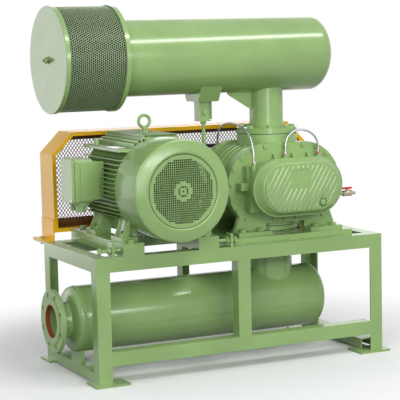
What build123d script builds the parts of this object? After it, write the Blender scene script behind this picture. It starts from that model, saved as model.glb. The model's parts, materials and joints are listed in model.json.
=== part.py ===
"""Belt-driven Roots vacuum pump package: frame, motor, blower, silencers, filter and belt guard.

Millimetres, +Z up. The origin is on the floor, at the centre of the four anchor holes.
X runs along the frame, from the discharge flange (-X) to the blower (+X), and Y from the
motor's fan end (-Y) to the belt guard (+Y).
"""
from build123d import *
import math
import os

os.makedirs("parts", exist_ok=True)

# ---- driving dimensions -------------------------------------------------------------
FRAME_L, FRAME_W, FRAME_H = 1440.0, 660.0, 560.0
ANGLE, ANGLE_T = 63.0, 6.0  # equal-angle steel of the frame
PLATE_T = 10.0  # foot plates
WELD_GAP = 0.2  # between mitred rail ends
ANCHOR_X, ANCHOR_Y, ANCHOR_R = 615.0, 300.0, 9.0
LOWER_RAIL_Z = 147.0
MIDDLE_POST_X = -38.0

BASE_X0, BASE_X1, BASE_Y, BASE_T = -20.0, 600.0, 265.0, 24.0  # blower base plate
BASE_TOP = FRAME_H + BASE_T

SHAFT_GAP, SHAFT_Z = 200.0, 806.0  # distance and height of the two rotor shafts
BLOWER_X = 295.0
DRIVE_X, DRIVEN_X = BLOWER_X + SHAFT_GAP / 2, BLOWER_X - SHAFT_GAP / 2
LOBES, PITCH_R = 3, SHAFT_GAP / 2
ROLL_R = PITCH_R / (2 * LOBES)  # circle that rolls out the cycloids
ROTOR_GAP = 0.15
CHAMBER_R, CHAMBER_Y = 133.5, 145.0
CASING_R, RIB_R, END_PLATE_R, END_PLATE_T = 165.0, 183.0, 195.0, 25.0
CASE_BODY_R, CASE_FLANGE_R, GEAR_CASE_Y = 118.0, 133.0, -290.0
COVER_R, COVER_SPAN, COVER_Y = 111.0, 173.0, -335.0
BEARING_R, JOURNAL_R, RUN_FIT = 55.0, 30.0, 0.05
GEAR_TEETH, MODULE, PRESSURE = 40, 5.0, math.radians(20)

MOTOR_X, MOTOR_Z, BEAM_TOP = -361.0, 841.0, 615.0
BARREL_R, STATOR_R, FIN_R, FIN_PITCH, FIN_T = 200.0, 165.0, 235.0, 19.6, 4.0
BODY_Y0, BODY_Y1 = -234.0, 190.0
COWL_R, COWL_FACE_R, COWL_RIM_Y, COWL_FACE_Y, SHEET = 224.0, 165.0, -452.0, -468.0, 3.0
MOTOR_SHAFT_R, MOTOR_SHAFT_Y = 30.0, 377.0
FOOT_HOLE_X, FOOT_HOLE_Y0, FOOT_HOLE_Y1 = 178.0, -223.0, 88.0
BEAM_W = 100.0
BEAM_XS = (-542.0, -180.0)
JACK_Y, JACK_Z = -303.0, 588.0

PULLEY_Y0, PULLEY_Y1 = 318.0, 400.0
BELTS, BELT_PITCH = 4, 19.0
MOTOR_PULLEY_R, BLOWER_PULLEY_R = 125.0, 157.5
BELT_TOP, BELT_DEPTH, BELT_W = 4.0, 13.0, 8.0

GUARD_X0, GUARD_X1, GUARD_Y0, GUARD_Y1 = -670.0, 680.0, 315.0, 485.0
GUARD_Z0, GUARD_Z1, GUARD_CUT, GUARD_LIP = 600.0, 1066.0, 100.0, 18.0

SILENCER_Z, SILENCER_R = 1410.0, 175.0
SILENCER_X0, SILENCER_X1, SILENCER_END = -488.0, 520.0, 608.0
FILTER_R, FILTER_X0, FILTER_RIM = 238.0, -788.0, 20.0
DISCHARGE_Z, DISCHARGE_R = 246.0, 149.0
DISCHARGE_X0, DISCHARGE_X1, DISCHARGE_END = -720.0, 496.0, 555.0
PORT_FACE_X, PORT_R, NECK_R = -815.0, 142.5, 79.5
FLANGE_T, FLANGE_PCD, FLANGE_BOLTS, FLANGE_HOLE_R = 22.0, 240.0, 8, 11.0
INLET_NECK_Z, INLET_FLANGE_Z = 1038.0, 1041.0
RISER_R = 109.5

HOSE_R = 5.0
ROD_X, ROD_R = -36.0, 8.0


# ---- shared shapes ------------------------------------------------------------------
def block(x0, x1, y0, y1, z0, z1, mode=Mode.ADD):
    """Box between two corners, in the part under construction."""
    with Locations(((x0 + x1) / 2, (y0 + y1) / 2, (z0 + z1) / 2)):
        Box(x1 - x0, y1 - y0, z1 - z0, mode=mode)


def rod(radius, start, end, mode=Mode.ADD):
    """Cylinder between two points, in the part under construction."""
    way = Vector(*end) - Vector(*start)
    with Locations(Plane(origin=start, z_dir=way).location):
        Cylinder(radius, way.length, align=(Align.CENTER, Align.CENTER, Align.MIN), mode=mode)


def keep(piece, name):
    """Label a finished piece and write it to its own STEP file."""
    piece.part.label = name
    export_step(piece.part, f"parts/{name}.step")


def bolt(size, grip, washer=True):
    """Hexagon bolt pointing down -Z, with its head standing on Z = 0."""
    seat = 0.15 * size if washer else 0.0
    with BuildPart() as piece:
        if washer:
            Cylinder(size * 1.0, seat, align=(Align.CENTER, Align.CENTER, Align.MIN))
        with BuildSketch(Plane.XY.offset(seat)):
            RegularPolygon(size * 0.85, 6, major_radius=False)
        extrude(amount=size * 0.65)
        Cylinder(size / 2, grip, align=(Align.CENTER, Align.CENTER, Align.MAX))
    return piece.part


def nut(size, height):
    """Hexagon nut standing on Z = 0, bored to slide on its rod."""
    with BuildPart() as piece:
        with BuildSketch():
            RegularPolygon(size * 0.85, 6, major_radius=False)
            Circle(size / 2 + RUN_FIT, mode=Mode.SUBTRACT)
        extrude(amount=height)
    return piece.part


def ring_places(centre, axis, pitch_diameter, count, first=0.5):
    """Places of a bolt circle: each one's Z runs along the axis."""
    face = Plane(origin=centre, z_dir=axis)
    turns = [2 * math.pi * (i + first) / count for i in range(count)]
    radius = pitch_diameter / 2
    return [
        face.location * Location((radius * math.cos(t), radius * math.sin(t), 0)) for t in turns
    ]


def angle_bar(plane, length, leg_u, leg_v):
    """Angle steel with its outer corner on the plane's origin and its legs along +-u and +-v."""
    su, sv = math.copysign(1, leg_u), math.copysign(1, leg_v)
    with BuildPart() as piece:
        with BuildSketch(plane):
            with BuildLine():
                Polyline(
                    (0, 0), (leg_u, 0), (leg_u, sv * ANGLE_T), (su * ANGLE_T, sv * ANGLE_T),
                    (su * ANGLE_T, leg_v), (0, leg_v), close=True,
                )
            make_face()
        extrude(amount=length)
    return piece.part


def mitred_rail(length, width_sign, y_face, along_x=True):
    """Top rail of the frame: outer flange down, top flange inward, both ends mitred."""
    with BuildPart() as piece:
        block(-length / 2, length / 2, -ANGLE_T, 0, FRAME_H - ANGLE, FRAME_H)
        block(-length / 2, length / 2, -ANGLE, 0, FRAME_H - ANGLE_T, FRAME_H)
        with BuildSketch(Plane.XY.offset(FRAME_H - ANGLE)):
            with BuildLine():
                Polyline(
                    (-length / 2, 0), (length / 2, 0), (length / 2 - ANGLE, -ANGLE),
                    (-length / 2 + ANGLE, -ANGLE), close=True,
                )
            make_face()
        extrude(amount=ANGLE, mode=Mode.INTERSECT)
    turn = (0 if width_sign > 0 else 180) if along_x else (-90 if width_sign > 0 else 90)
    place = (0, width_sign * y_face, 0) if along_x else (width_sign * y_face, 0, 0)
    return piece.part.moved(Location(place, (0, 0, turn)))


def stadium(plane, radius, span):
    """Face round two shaft axes, on a plane square to them."""
    with BuildSketch(plane) as outline:
        SlotCenterToCenter(span, 2 * radius)
    return outline.sketch


def blower_plane(y):
    """Plane square to the shafts at y, centred between them, its u along +X and normal -Y."""
    return Plane(origin=(BLOWER_X, y, SHAFT_Z), x_dir=(1, 0, 0), z_dir=(0, -1, 0))


def motor_plane(y):
    """Plane square to the motor's axis at y, its u along +X and normal -Y."""
    return Plane(origin=(MOTOR_X, y, MOTOR_Z), x_dir=(1, 0, 0), z_dir=(0, -1, 0))


# ---- frame --------------------------------------------------------------------------
HALF_L, HALF_W = FRAME_L / 2, FRAME_W / 2

with BuildPart() as foot_plates:
    for sx in (-1, 1):
        for sy in (-1, 1):
            with Locations((sx * 665, sy * ANCHOR_Y, PLATE_T / 2)):
                Box(160, 120, PLATE_T)
            rod(ANCHOR_R, (sx * ANCHOR_X, sy * ANCHOR_Y, 0), (sx * ANCHOR_X, sy * ANCHOR_Y, PLATE_T),
                Mode.SUBTRACT)
keep(foot_plates, "foot_plates")

with BuildPart() as frame_posts:
    for sy in (-1, 1):
        for sx in (-1, 1):
            corner = Plane(origin=(sx * HALF_L, sy * HALF_W, PLATE_T))
            add(angle_bar(corner, FRAME_H - ANGLE - PLATE_T, -sx * ANGLE, -sy * ANGLE))
        corner = Plane(origin=(MIDDLE_POST_X, sy * HALF_W, LOWER_RAIL_Z))
        add(angle_bar(corner, FRAME_H - ANGLE - LOWER_RAIL_Z, ANGLE, -sy * ANGLE))
keep(frame_posts, "frame_posts")

CHANNEL_W, CHANNEL_H, CHANNEL_T = 80.0, 43.0, 7.0
with BuildPart() as frame_rails:
    for side in (-1, 1):
        add(mitred_rail(FRAME_L, side, HALF_W))
        add(mitred_rail(FRAME_W - 2 * WELD_GAP, side, HALF_L, along_x=False))
    reach = HALF_L - ANGLE
    for sy in (-1, 1):
        y_out, y_web, y_in = sy * HALF_W, sy * (HALF_W - ANGLE_T), sy * (HALF_W - ANGLE)
        block(-reach, reach, min(y_out, y_web), max(y_out, y_web), LOWER_RAIL_Z - ANGLE, LOWER_RAIL_Z)
        block(-reach, reach, min(y_out, y_in), max(y_out, y_in), LOWER_RAIL_Z - ANGLE_T, LOWER_RAIL_Z)
    reach = HALF_W - ANGLE
    for sx in (-1, 1):
        middle = sx * (HALF_L - CHANNEL_W / 2)
        with Locations((middle, 0, PLATE_T + CHANNEL_H / 2)):
            Box(CHANNEL_W, 2 * reach, CHANNEL_H)
        with Locations((middle, 0, PLATE_T + (CHANNEL_H - CHANNEL_T) / 2)):
            Box(CHANNEL_W - 2 * CHANNEL_T, 2 * reach, CHANNEL_H - CHANNEL_T, mode=Mode.SUBTRACT)
    reach = HALF_W - ANGLE - WELD_GAP
    for x, leg in ((-60.0, ANGLE), (603.0, -ANGLE)):
        end = Plane(origin=(x, -reach, FRAME_H), x_dir=(1, 0, 0), z_dir=(0, 1, 0))
        add(angle_bar(end, 2 * reach, leg, ANGLE))
keep(frame_rails, "frame_rails")

FOOT_BOLT_XS, FOOT_BOLT_Y = (56.0, 150.0, 440.0, 534.0), 200.0
with BuildPart() as blower_base:
    block(BASE_X0, BASE_X1, -BASE_Y, BASE_Y, FRAME_H, BASE_TOP)
    rod(150, (BLOWER_X, 0, FRAME_H), (BLOWER_X, 0, BASE_TOP), Mode.SUBTRACT)
    for sy in (-1, 1):
        for x in FOOT_BOLT_XS:
            rod(8.5, (x, sy * FOOT_BOLT_Y, FRAME_H), (x, sy * FOOT_BOLT_Y, BASE_TOP), Mode.SUBTRACT)
    chamfer(blower_base.edges().group_by(Axis.Z)[-1].filter_by(GeomType.LINE), 2)
keep(blower_base, "blower_base")

# ---- motor beams and belt-tension jacks ---------------------------------------------
BEAM_Y0, BEAM_Y1, BEAM_WALL = -HALF_W, 305.0, 5.0
CLAMP_YS = (-302.0, 280.0)
with BuildPart() as motor_beams:
    for x in BEAM_XS:
        block(x - BEAM_W / 2, x + BEAM_W / 2, BEAM_Y0, BEAM_Y1, FRAME_H, BEAM_TOP)
        block(x - BEAM_W / 2 + BEAM_WALL, x + BEAM_W / 2 - BEAM_WALL, BEAM_Y0 + BEAM_WALL,
              BEAM_Y1 - BEAM_WALL, FRAME_H + BEAM_WALL, BEAM_TOP - BEAM_WALL, Mode.SUBTRACT)
        for y in CLAMP_YS:
            rod(9, (x, y, FRAME_H - 1), (x, y, BEAM_TOP + 1), Mode.SUBTRACT)
    for sx in (-1, 1):
        for y in (FOOT_HOLE_Y0, FOOT_HOLE_Y1):
            x = MOTOR_X + sx * FOOT_HOLE_X
            rod(9, (x, y, BEAM_TOP - BEAM_WALL), (x, y, BEAM_TOP), Mode.SUBTRACT)
keep(motor_beams, "motor_beams")

LUG_T = 12.0
BRACKET_Y0, BRACKET_Y1, BRACKET_T, BRACKET_REACH = 318.0, 478.0, 6.0, 55.0
LEFT_LUG_X, RIGHT_LUG_X = -642.0, -70.0
with BuildPart() as frame_lugs:
    for x, top in ((LEFT_LUG_X, 627.0), (RIGHT_LUG_X, 620.0)):
        block(x, x + LUG_T, JACK_Y - 24, JACK_Y + 24, FRAME_H, top)
        rod(8.3, (x - 1, JACK_Y, JACK_Z), (x + LUG_T + 1, JACK_Y, JACK_Z), Mode.SUBTRACT)
    for wall, side in ((GUARD_X0, -1), (GUARD_X1, 1)):
        far = wall + side * 50
        block(min(wall, far), max(wall, far), HALF_W, BRACKET_Y1, FRAME_H - 10, FRAME_H)
        rod(6.5, (wall + side * 28, 406, FRAME_H - 10), (wall + side * 28, 406, FRAME_H), Mode.SUBTRACT)
keep(frame_lugs, "frame_lugs")

with BuildPart() as jack_bolts:
    left_end = BEAM_XS[0] - BEAM_W / 2
    right_end = BEAM_XS[1] + BEAM_W / 2
    with Locations(Plane(origin=(LEFT_LUG_X - 46, JACK_Y, JACK_Z), z_dir=(-1, 0, 0)).location):
        add(bolt(16, left_end - (LEFT_LUG_X - 46), washer=False))
    with Locations(Plane(origin=(RIGHT_LUG_X + LUG_T + 14, JACK_Y, JACK_Z), z_dir=(1, 0, 0)).location):
        add(bolt(16, RIGHT_LUG_X + LUG_T + 14 - right_end, washer=False))
    with Locations(Plane(origin=(LEFT_LUG_X, JACK_Y, JACK_Z), z_dir=(-1, 0, 0)).location):
        add(nut(16, 13))
    with Locations(Plane(origin=(RIGHT_LUG_X, JACK_Y, JACK_Z), z_dir=(-1, 0, 0)).location):
        add(nut(16, 13))
keep(jack_bolts, "jack_bolts")

# ---- motor --------------------------------------------------------------------------
PLATFORM_W, PLATFORM_Z, LEDGE_Z = 170.0, 224.0, 176.0
with BuildPart() as motor_frame:
    with BuildSketch(motor_plane(BODY_Y1)):
        Circle(BARREL_R)
        with GridLocations(1, FIN_PITCH, 1, 14):
            Rectangle(2 * FIN_R, FIN_T)
        with GridLocations(FIN_PITCH, 1, 14, 1):
            Rectangle(FIN_T, 2 * FIN_R)
        Circle(FIN_R, mode=Mode.INTERSECT)
        with Locations((0, PLATFORM_Z + 10)):
            Rectangle(2 * PLATFORM_W, 20, mode=Mode.SUBTRACT)
        with Locations((0, PLATFORM_Z - 4)):
            Rectangle(PLATFORM_W, 8)
        with Locations((-160, LEDGE_Z - 6)):
            Rectangle(82, 12)
        Circle(STATOR_R, mode=Mode.SUBTRACT)
    extrude(amount=BODY_Y1 - BODY_Y0)
    for y0, y1 in ((-280.0, -160.0), (30.0, 140.0)):
        for side in (-1, 1):
            with BuildSketch(motor_plane(y1)):
                with BuildLine():
                    Polyline(
                        (side * 140, BEAM_TOP - MOTOR_Z), (side * 218, BEAM_TOP - MOTOR_Z),
                        (side * 218, BEAM_TOP - MOTOR_Z + 20), (side * 196, BEAM_TOP - MOTOR_Z + 20),
                        (side * 168, -118), (side * 112, -160), (side * 140, -200), close=True,
                    )
                make_face()
            extrude(amount=y1 - y0)
    block(MOTOR_X - FIN_R, MOTOR_X + FIN_R, -281, BODY_Y0, BEAM_TOP + 20, MOTOR_Z, Mode.SUBTRACT)
    for sx in (-1, 1):
        x = MOTOR_X + sx * FOOT_HOLE_X
        for y in (FOOT_HOLE_Y0, FOOT_HOLE_Y1):
            rod(9.5, (x, y, BEAM_TOP), (x, y, BEAM_TOP + 20), Mode.SUBTRACT)
            rod(17, (x, y, BEAM_TOP + 20), (x, y, BEAM_TOP + 44), Mode.SUBTRACT)
    rod(8.2, (MOTOR_X, -60, MOTOR_Z + BARREL_R - 20), (MOTOR_X, -60, MOTOR_Z + PLATFORM_Z),
        Mode.SUBTRACT)
    block(MOTOR_X - FIN_R - 5, MOTOR_X - 190, -42, 47, 806, 940, Mode.SUBTRACT)
keep(motor_frame, "motor_frame")

SHIELD_BOSS_R, MOTOR_BEARING_R = 90.0, 65.0
with BuildPart() as end_shields:
    with BuildSketch(Plane.XY):
        with BuildLine():
            Polyline(
                (MOTOR_SHAFT_R + 1.5, BODY_Y1 + 47), (SHIELD_BOSS_R, BODY_Y1 + 47),
                (SHIELD_BOSS_R + 30, BODY_Y1 + 34),
                (BARREL_R + 8, BODY_Y1 + 16), (BARREL_R + 8, BODY_Y1), (STATOR_R - 8, BODY_Y1),
                (MOTOR_BEARING_R + 14, BODY_Y1 + 12), (MOTOR_BEARING_R + 14, BODY_Y1 - 4),
                (MOTOR_BEARING_R, BODY_Y1 - 4), (MOTOR_BEARING_R, BODY_Y1 + 34),
                (MOTOR_SHAFT_R + 1.5, BODY_Y1 + 34), close=True,
            )
        make_face()
    revolve(axis=Axis.Y)
    with BuildSketch(Plane.XY):
        with BuildLine():
            Polyline(
                (MOTOR_SHAFT_R + 1.5, BODY_Y0 - 34), (MOTOR_BEARING_R + 14, BODY_Y0 - 34),
                (BARREL_R - 10, BODY_Y0 - 16), (BARREL_R - 10, BODY_Y0), (STATOR_R - 8, BODY_Y0),
                (MOTOR_BEARING_R + 14, BODY_Y0 - 8), (MOTOR_BEARING_R + 14, BODY_Y0 + 12),
                (MOTOR_BEARING_R, BODY_Y0 + 12), (MOTOR_BEARING_R, BODY_Y0 - 24),
                (MOTOR_SHAFT_R + 1.5, BODY_Y0 - 24), close=True,
            )
        make_face()
    revolve(axis=Axis.Y)
end_shields.part = end_shields.part.moved(Location((MOTOR_X, 0, MOTOR_Z)))
keep(end_shields, "end_shields")

BEARING_W = 30.0
MOTOR_BEARING_YS = (BODY_Y0 - 22, BODY_Y1 + 2)

CORE_Y0, CORE_Y1, CORE_R = -150.0, 130.0, 115.0
with BuildPart() as stator:
    with BuildSketch(motor_plane(CORE_Y1)):
        Circle(STATOR_R)
        Circle(CORE_R + 1, mode=Mode.SUBTRACT)
    extrude(amount=CORE_Y1 - CORE_Y0)
    for y0, y1 in ((CORE_Y0 - 45, CORE_Y0 - 0.5), (CORE_Y1 + 0.5, CORE_Y1 + 45)):
        with BuildSketch(motor_plane(y1)):
            Circle(STATOR_R - 12)
            Circle(CORE_R + 8, mode=Mode.SUBTRACT)
        extrude(amount=y1 - y0)
keep(stator, "stator")

GRID_PITCH, GRID_HOLE, GRID_R, GRID_HUB_R = 24.0, 16.0, 146.0, 40.0
DISH_R, DISH_DEPTH = 162.0, 8.0  # the grille lies back from the cowl's front edge
GRILLE_Y = COWL_FACE_Y + DISH_DEPTH
with BuildPart() as fan_cowl:
    with BuildSketch(Plane.XY):
        with BuildLine():
            Polyline(
                (COWL_R, BODY_Y0), (COWL_R, COWL_RIM_Y), (COWL_R - 8, COWL_RIM_Y - 4),
                (COWL_FACE_R + 5, COWL_FACE_Y), (COWL_FACE_R, COWL_FACE_Y), (DISH_R, GRILLE_Y),
                (0, GRILLE_Y), (0, GRILLE_Y + SHEET), (DISH_R + 1, GRILLE_Y + SHEET),
                (COWL_FACE_R + 3, COWL_FACE_Y + SHEET + 1), (COWL_R - 8, COWL_RIM_Y - 1),
                (COWL_R - SHEET, COWL_RIM_Y + SHEET), (COWL_R - SHEET, BODY_Y0), close=True,
            )
        make_face()
    revolve(axis=Axis.Y)
    steps = [GRID_PITCH * i for i in range(-6, 7)]
    for u in steps:
        column = [v for v in steps if GRID_HUB_R < math.hypot(u, v) < GRID_R - GRID_HOLE / 2]
        if column:
            with BuildSketch(Plane(origin=(0, GRILLE_Y, 0), x_dir=(1, 0, 0), z_dir=(0, 1, 0))):
                with Locations(*[(u, v) for v in column]):
                    Rectangle(GRID_HOLE, GRID_HOLE)
            extrude(amount=SHEET, mode=Mode.SUBTRACT)
fan_cowl.part = fan_cowl.part.moved(Location((MOTOR_X, 0, MOTOR_Z)))
keep(fan_cowl, "fan_cowl")

BOX_X0, BOX_X1, BOX_Y0, BOX_Y1, BOX_Z0, BOX_Z1 = -706.0, -624.0, -70.0, 75.0, 775.0, 970.0
GLAND_YS, GLAND_X = (-34.0, 40.0), -668.0
with BuildPart() as terminal_box:
    block(BOX_X0, BOX_X1, BOX_Y0, BOX_Y1, BOX_Z0, BOX_Z1)
    fillet(terminal_box.edges().filter_by(Axis.X), 12)
    block(BOX_X0, BOX_X1 - 8, BOX_Y0 + 8, BOX_Y1 - 8, BOX_Z0 + 8, BOX_Z1 - 8, Mode.SUBTRACT)
    block(BOX_X1, MOTOR_X - 201, -38, 43, 810, 936)
    for y in GLAND_YS:
        rod(18, (GLAND_X, y, BOX_Z0), (GLAND_X, y, BOX_Z0 + 8), Mode.SUBTRACT)
keep(terminal_box, "terminal_box")

with BuildPart() as terminal_lid:
    block(BOX_X0 - 14, BOX_X0, BOX_Y0, BOX_Y1, BOX_Z0, BOX_Z1)
    fillet(terminal_lid.edges().filter_by(Axis.X), 12)
    fillet(terminal_lid.edges().group_by(Axis.X)[0], 5)
keep(terminal_lid, "terminal_lid")

with BuildPart() as cable_glands:
    for y in GLAND_YS:
        with BuildSketch(Plane.XY.offset(BOX_Z0 - 14)):
            with Locations((GLAND_X, y)):
                RegularPolygon(26, 6, major_radius=False)
        extrude(amount=14)
        rod(22, (GLAND_X, y, BOX_Z0 - 42), (GLAND_X, y, BOX_Z0 - 14))
        rod(17.5, (GLAND_X, y, BOX_Z0 - 14), (GLAND_X, y, BOX_Z0 + 8))
keep(cable_glands, "cable_glands")

EYE_Z = 1125.0
with BuildPart() as lifting_eye:
    deck = MOTOR_Z + PLATFORM_Z
    rod(18, (MOTOR_X, -60, deck), (MOTOR_X, -60, deck + 10))
    rod(11, (MOTOR_X, -60, deck + 10), (MOTOR_X, -60, EYE_Z - 24))
    rod(8, (MOTOR_X, -60, deck - 30), (MOTOR_X, -60, deck))
    with Locations(Plane(origin=(MOTOR_X, -60, EYE_Z), z_dir=(0, 1, 0)).location):
        Torus(27, 7)
keep(lifting_eye, "lifting_eye")

with BuildPart() as frame_bolts:
    feet = [(MOTOR_X + sx * FOOT_HOLE_X, y) for sx in (-1, 1) for y in (FOOT_HOLE_Y0, FOOT_HOLE_Y1)]
    with Locations(*[(x, y, BEAM_TOP + 20) for x, y in feet]):
        add(bolt(16, 20 + BEAM_WALL + 4))
    with Locations(*[(x, y, BEAM_TOP) for x in BEAM_XS for y in CLAMP_YS]):
        add(bolt(16, BEAM_TOP - FRAME_H))
    for wall, side in ((GUARD_X0, -1), (GUARD_X1, 1)):
        with Locations((wall + side * 28, 406, FRAME_H + BRACKET_T)):
            add(bolt(12, BRACKET_T + 18))
        with Locations((wall + side * 28, 406, FRAME_H - 20)):
            add(nut(12, 10))
keep(frame_bolts, "frame_bolts")

FAN_Y0, FAN_Y1, FAN_R = -440.0, -385.0, 150.0
with BuildPart() as motor_shaft:
    rod(MOTOR_SHAFT_R, (MOTOR_X, BODY_Y1 + 30, MOTOR_Z), (MOTOR_X, MOTOR_SHAFT_Y, MOTOR_Z))
    rod(MOTOR_SHAFT_R + 2, (MOTOR_X, BODY_Y0 - 22, MOTOR_Z), (MOTOR_X, BODY_Y1 + 32, MOTOR_Z))
    rod(24, (MOTOR_X, FAN_Y0 + 8, MOTOR_Z), (MOTOR_X, BODY_Y0 - 22, MOTOR_Z))
    rod(CORE_R, (MOTOR_X, CORE_Y0, MOTOR_Z), (MOTOR_X, CORE_Y1, MOTOR_Z))
keep(motor_shaft, "motor_shaft")

FAN_BLADES, BLADE_TILT, FAN_HUB_R = 7, 40.0, 42.0
with BuildPart() as motor_fan:
    rod(FAN_HUB_R, (MOTOR_X, FAN_Y0, MOTOR_Z), (MOTOR_X, FAN_Y1, MOTOR_Z))
    middle = motor_plane((FAN_Y0 + FAN_Y1) / 2).location
    for blade in range(FAN_BLADES):
        spoke = Location((0, 0, 0), (0, 0, 360 / FAN_BLADES * blade))
        with Locations(middle * spoke * Location((FAN_HUB_R - 5, 0, 0), (BLADE_TILT, 0, 0))):
            Box(FAN_R - FAN_HUB_R + 10, 62, 4, align=(Align.MIN, Align.CENTER, Align.CENTER))
    rod(FAN_R, (MOTOR_X, FAN_Y0, MOTOR_Z), (MOTOR_X, FAN_Y1, MOTOR_Z), Mode.INTERSECT)
    rod(24, (MOTOR_X, FAN_Y0 + 8, MOTOR_Z), (MOTOR_X, FAN_Y1, MOTOR_Z), Mode.SUBTRACT)
keep(motor_fan, "motor_fan")

# ---- belt drive ---------------------------------------------------------------------
GROOVE_DEPTH, GROOVE_W, GROOVE_W_IN = 12.0, 17.4, 9.4


def v_pulley(pitch_radius, bore_radius):
    """Pulley with a V-groove for each belt, turned about Y between its two faces."""
    rim, floor = pitch_radius + BELT_TOP - 1, pitch_radius - GROOVE_DEPTH
    middle = (PULLEY_Y0 + PULLEY_Y1) / 2
    profile = [(bore_radius, PULLEY_Y0), (rim, PULLEY_Y0)]
    for groove in range(BELTS):
        y = middle + (groove - (BELTS - 1) / 2) * BELT_PITCH
        profile += [(rim, y - GROOVE_W / 2), (floor, y - GROOVE_W_IN / 2)]
        profile += [(floor, y + GROOVE_W_IN / 2), (rim, y + GROOVE_W / 2)]
    profile += [(rim, PULLEY_Y1), (bore_radius, PULLEY_Y1)]
    with BuildPart() as piece:
        with BuildSketch(Plane.XY):
            with BuildLine():
                Polyline(*profile, close=True)
            make_face()
        revolve(axis=Axis.Y)
        with BuildSketch(Plane(origin=(0, PULLEY_Y1, 0), x_dir=(1, 0, 0), z_dir=(0, 1, 0))):
            Circle(floor - 16)
            Circle(bore_radius + 26, mode=Mode.SUBTRACT)
        extrude(amount=-26, mode=Mode.SUBTRACT)
    return piece.part


DRIVE_END_R = 27.5
with BuildPart() as motor_pulley:
    add(v_pulley(MOTOR_PULLEY_R, MOTOR_SHAFT_R).moved(Location((MOTOR_X, 0, MOTOR_Z))))
keep(motor_pulley, "motor_pulley")

with BuildPart() as blower_pulley:
    add(v_pulley(BLOWER_PULLEY_R, DRIVE_END_R).moved(Location((DRIVE_X, 0, SHAFT_Z))))
keep(blower_pulley, "blower_pulley")

centre_line = Vector(DRIVE_X - MOTOR_X, SHAFT_Z - MOTOR_Z)
lean = math.asin((BLOWER_PULLEY_R - MOTOR_PULLEY_R) / centre_line.length)
along = math.atan2(centre_line.Y, centre_line.X)


def belt_loop(y, lift):
    """Closed face of a belt's outline, lifted off the pitch line, on the plane at y."""
    with BuildSketch(Plane(origin=(0, y, 0), x_dir=(1, 0, 0), z_dir=(0, -1, 0))) as loop:
        for x, z, radius in (
            (MOTOR_X, MOTOR_Z, MOTOR_PULLEY_R + lift), (DRIVE_X, SHAFT_Z, BLOWER_PULLEY_R + lift),
        ):
            with Locations((x, z)):
                Circle(radius)
        corners = []
        for side in (1, -1):
            turn = along + side * (math.pi / 2 + lean)
            ends = [(MOTOR_X, MOTOR_Z, MOTOR_PULLEY_R), (DRIVE_X, SHAFT_Z, BLOWER_PULLEY_R)][::side]
            for x, z, radius in ends:
                corners.append(
                    (x + (radius + lift) * math.cos(turn), z + (radius + lift) * math.sin(turn))
                )
        with BuildLine():
            Polyline(*corners, close=True)
        make_face()
    return loop.sketch


with BuildPart() as drive_belts:
    middle = (PULLEY_Y0 + PULLEY_Y1) / 2
    for groove in range(BELTS):
        y = middle + (groove - (BELTS - 1) / 2) * BELT_PITCH
        side = y + BELT_W / 2
        extrude(belt_loop(side, BELT_TOP) - belt_loop(side, BELT_TOP - BELT_DEPTH), amount=BELT_W)
keep(drive_belts, "drive_belts")

# ---- belt guard ---------------------------------------------------------------------
def guard_outline(inset, y):
    """Guard outline with its two cut top corners, drawn inset, on the plane at y facing -Y."""
    with BuildSketch(Plane(origin=(0, y, 0), x_dir=(1, 0, 0), z_dir=(0, -1, 0))) as face:
        x0, x1, z0, z1 = GUARD_X0 + inset, GUARD_X1 - inset, GUARD_Z0 + inset, GUARD_Z1 - inset
        cut = GUARD_CUT - inset * (2 - math.sqrt(2))
        with BuildLine():
            Polyline((x0, z0), (x1, z0), (x1, z1 - cut), (x1 - cut, z1), (x0 + cut, z1),
                     (x0, z1 - cut), close=True)
        make_face()
    return face.sketch


with BuildPart() as guard_shell:
    back, front = GUARD_Y1 - SHEET, GUARD_Y0 + SHEET
    extrude(guard_outline(0, back) - guard_outline(SHEET, back), amount=back - GUARD_Y0)
    extrude(guard_outline(0, front) - guard_outline(GUARD_LIP, front), amount=SHEET)
    for wall, side in ((GUARD_X0, -1), (GUARD_X1, 1)):
        far, near = wall + side * BRACKET_REACH, wall + side * BRACKET_T
        block(min(wall, far), max(wall, far), BRACKET_Y0, BRACKET_Y1, FRAME_H, FRAME_H + BRACKET_T)
        block(min(wall, near), max(wall, near), BRACKET_Y0, BRACKET_Y1, FRAME_H, GUARD_Z0 + 60)
        rod(6.5, (wall + side * 28, 406, FRAME_H), (wall + side * 28, 406, FRAME_H + BRACKET_T),
            Mode.SUBTRACT)
keep(guard_shell, "guard_shell")

MESH_U, MESH_V, STRAND = 90.0, 52.0, 10.0
with BuildPart() as guard_mesh:
    extrude(guard_outline(0, GUARD_Y1), amount=SHEET)
    us = [GUARD_X0 + 56 + MESH_U * i / 2 for i in range(29)]
    vs = [GUARD_Z0 + 50 + MESH_V * i / 2 for i in range(17)]
    windows = [
        (u, v) for i, u in enumerate(us) for j, v in enumerate(vs)
        if (i + j) % 2 == 0 and min(u - GUARD_X0, GUARD_X1 - u) + (GUARD_Z1 - v) > GUARD_CUT + 60
    ]
    with BuildSketch(Plane(origin=(0, GUARD_Y1, 0), x_dir=(1, 0, 0), z_dir=(0, -1, 0))):
        with Locations(*windows):
            RegularPolygon(MESH_V / 2 - STRAND / 2, 4, rotation=0)
    extrude(amount=SHEET, mode=Mode.SUBTRACT)
keep(guard_mesh, "guard_mesh")

# ---- blower -------------------------------------------------------------------------
FOOT_H, FOOT_OUT, FOOT_TOP = 18.0, 60.0, 686.0


def bore_both(radius, y0, y1, mode=Mode.SUBTRACT):
    """Round both shaft axes, from y0 to y1."""
    for x in (DRIVEN_X, DRIVE_X):
        rod(radius, (x, y0, SHAFT_Z), (x, y1, SHAFT_Z), mode)


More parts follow.
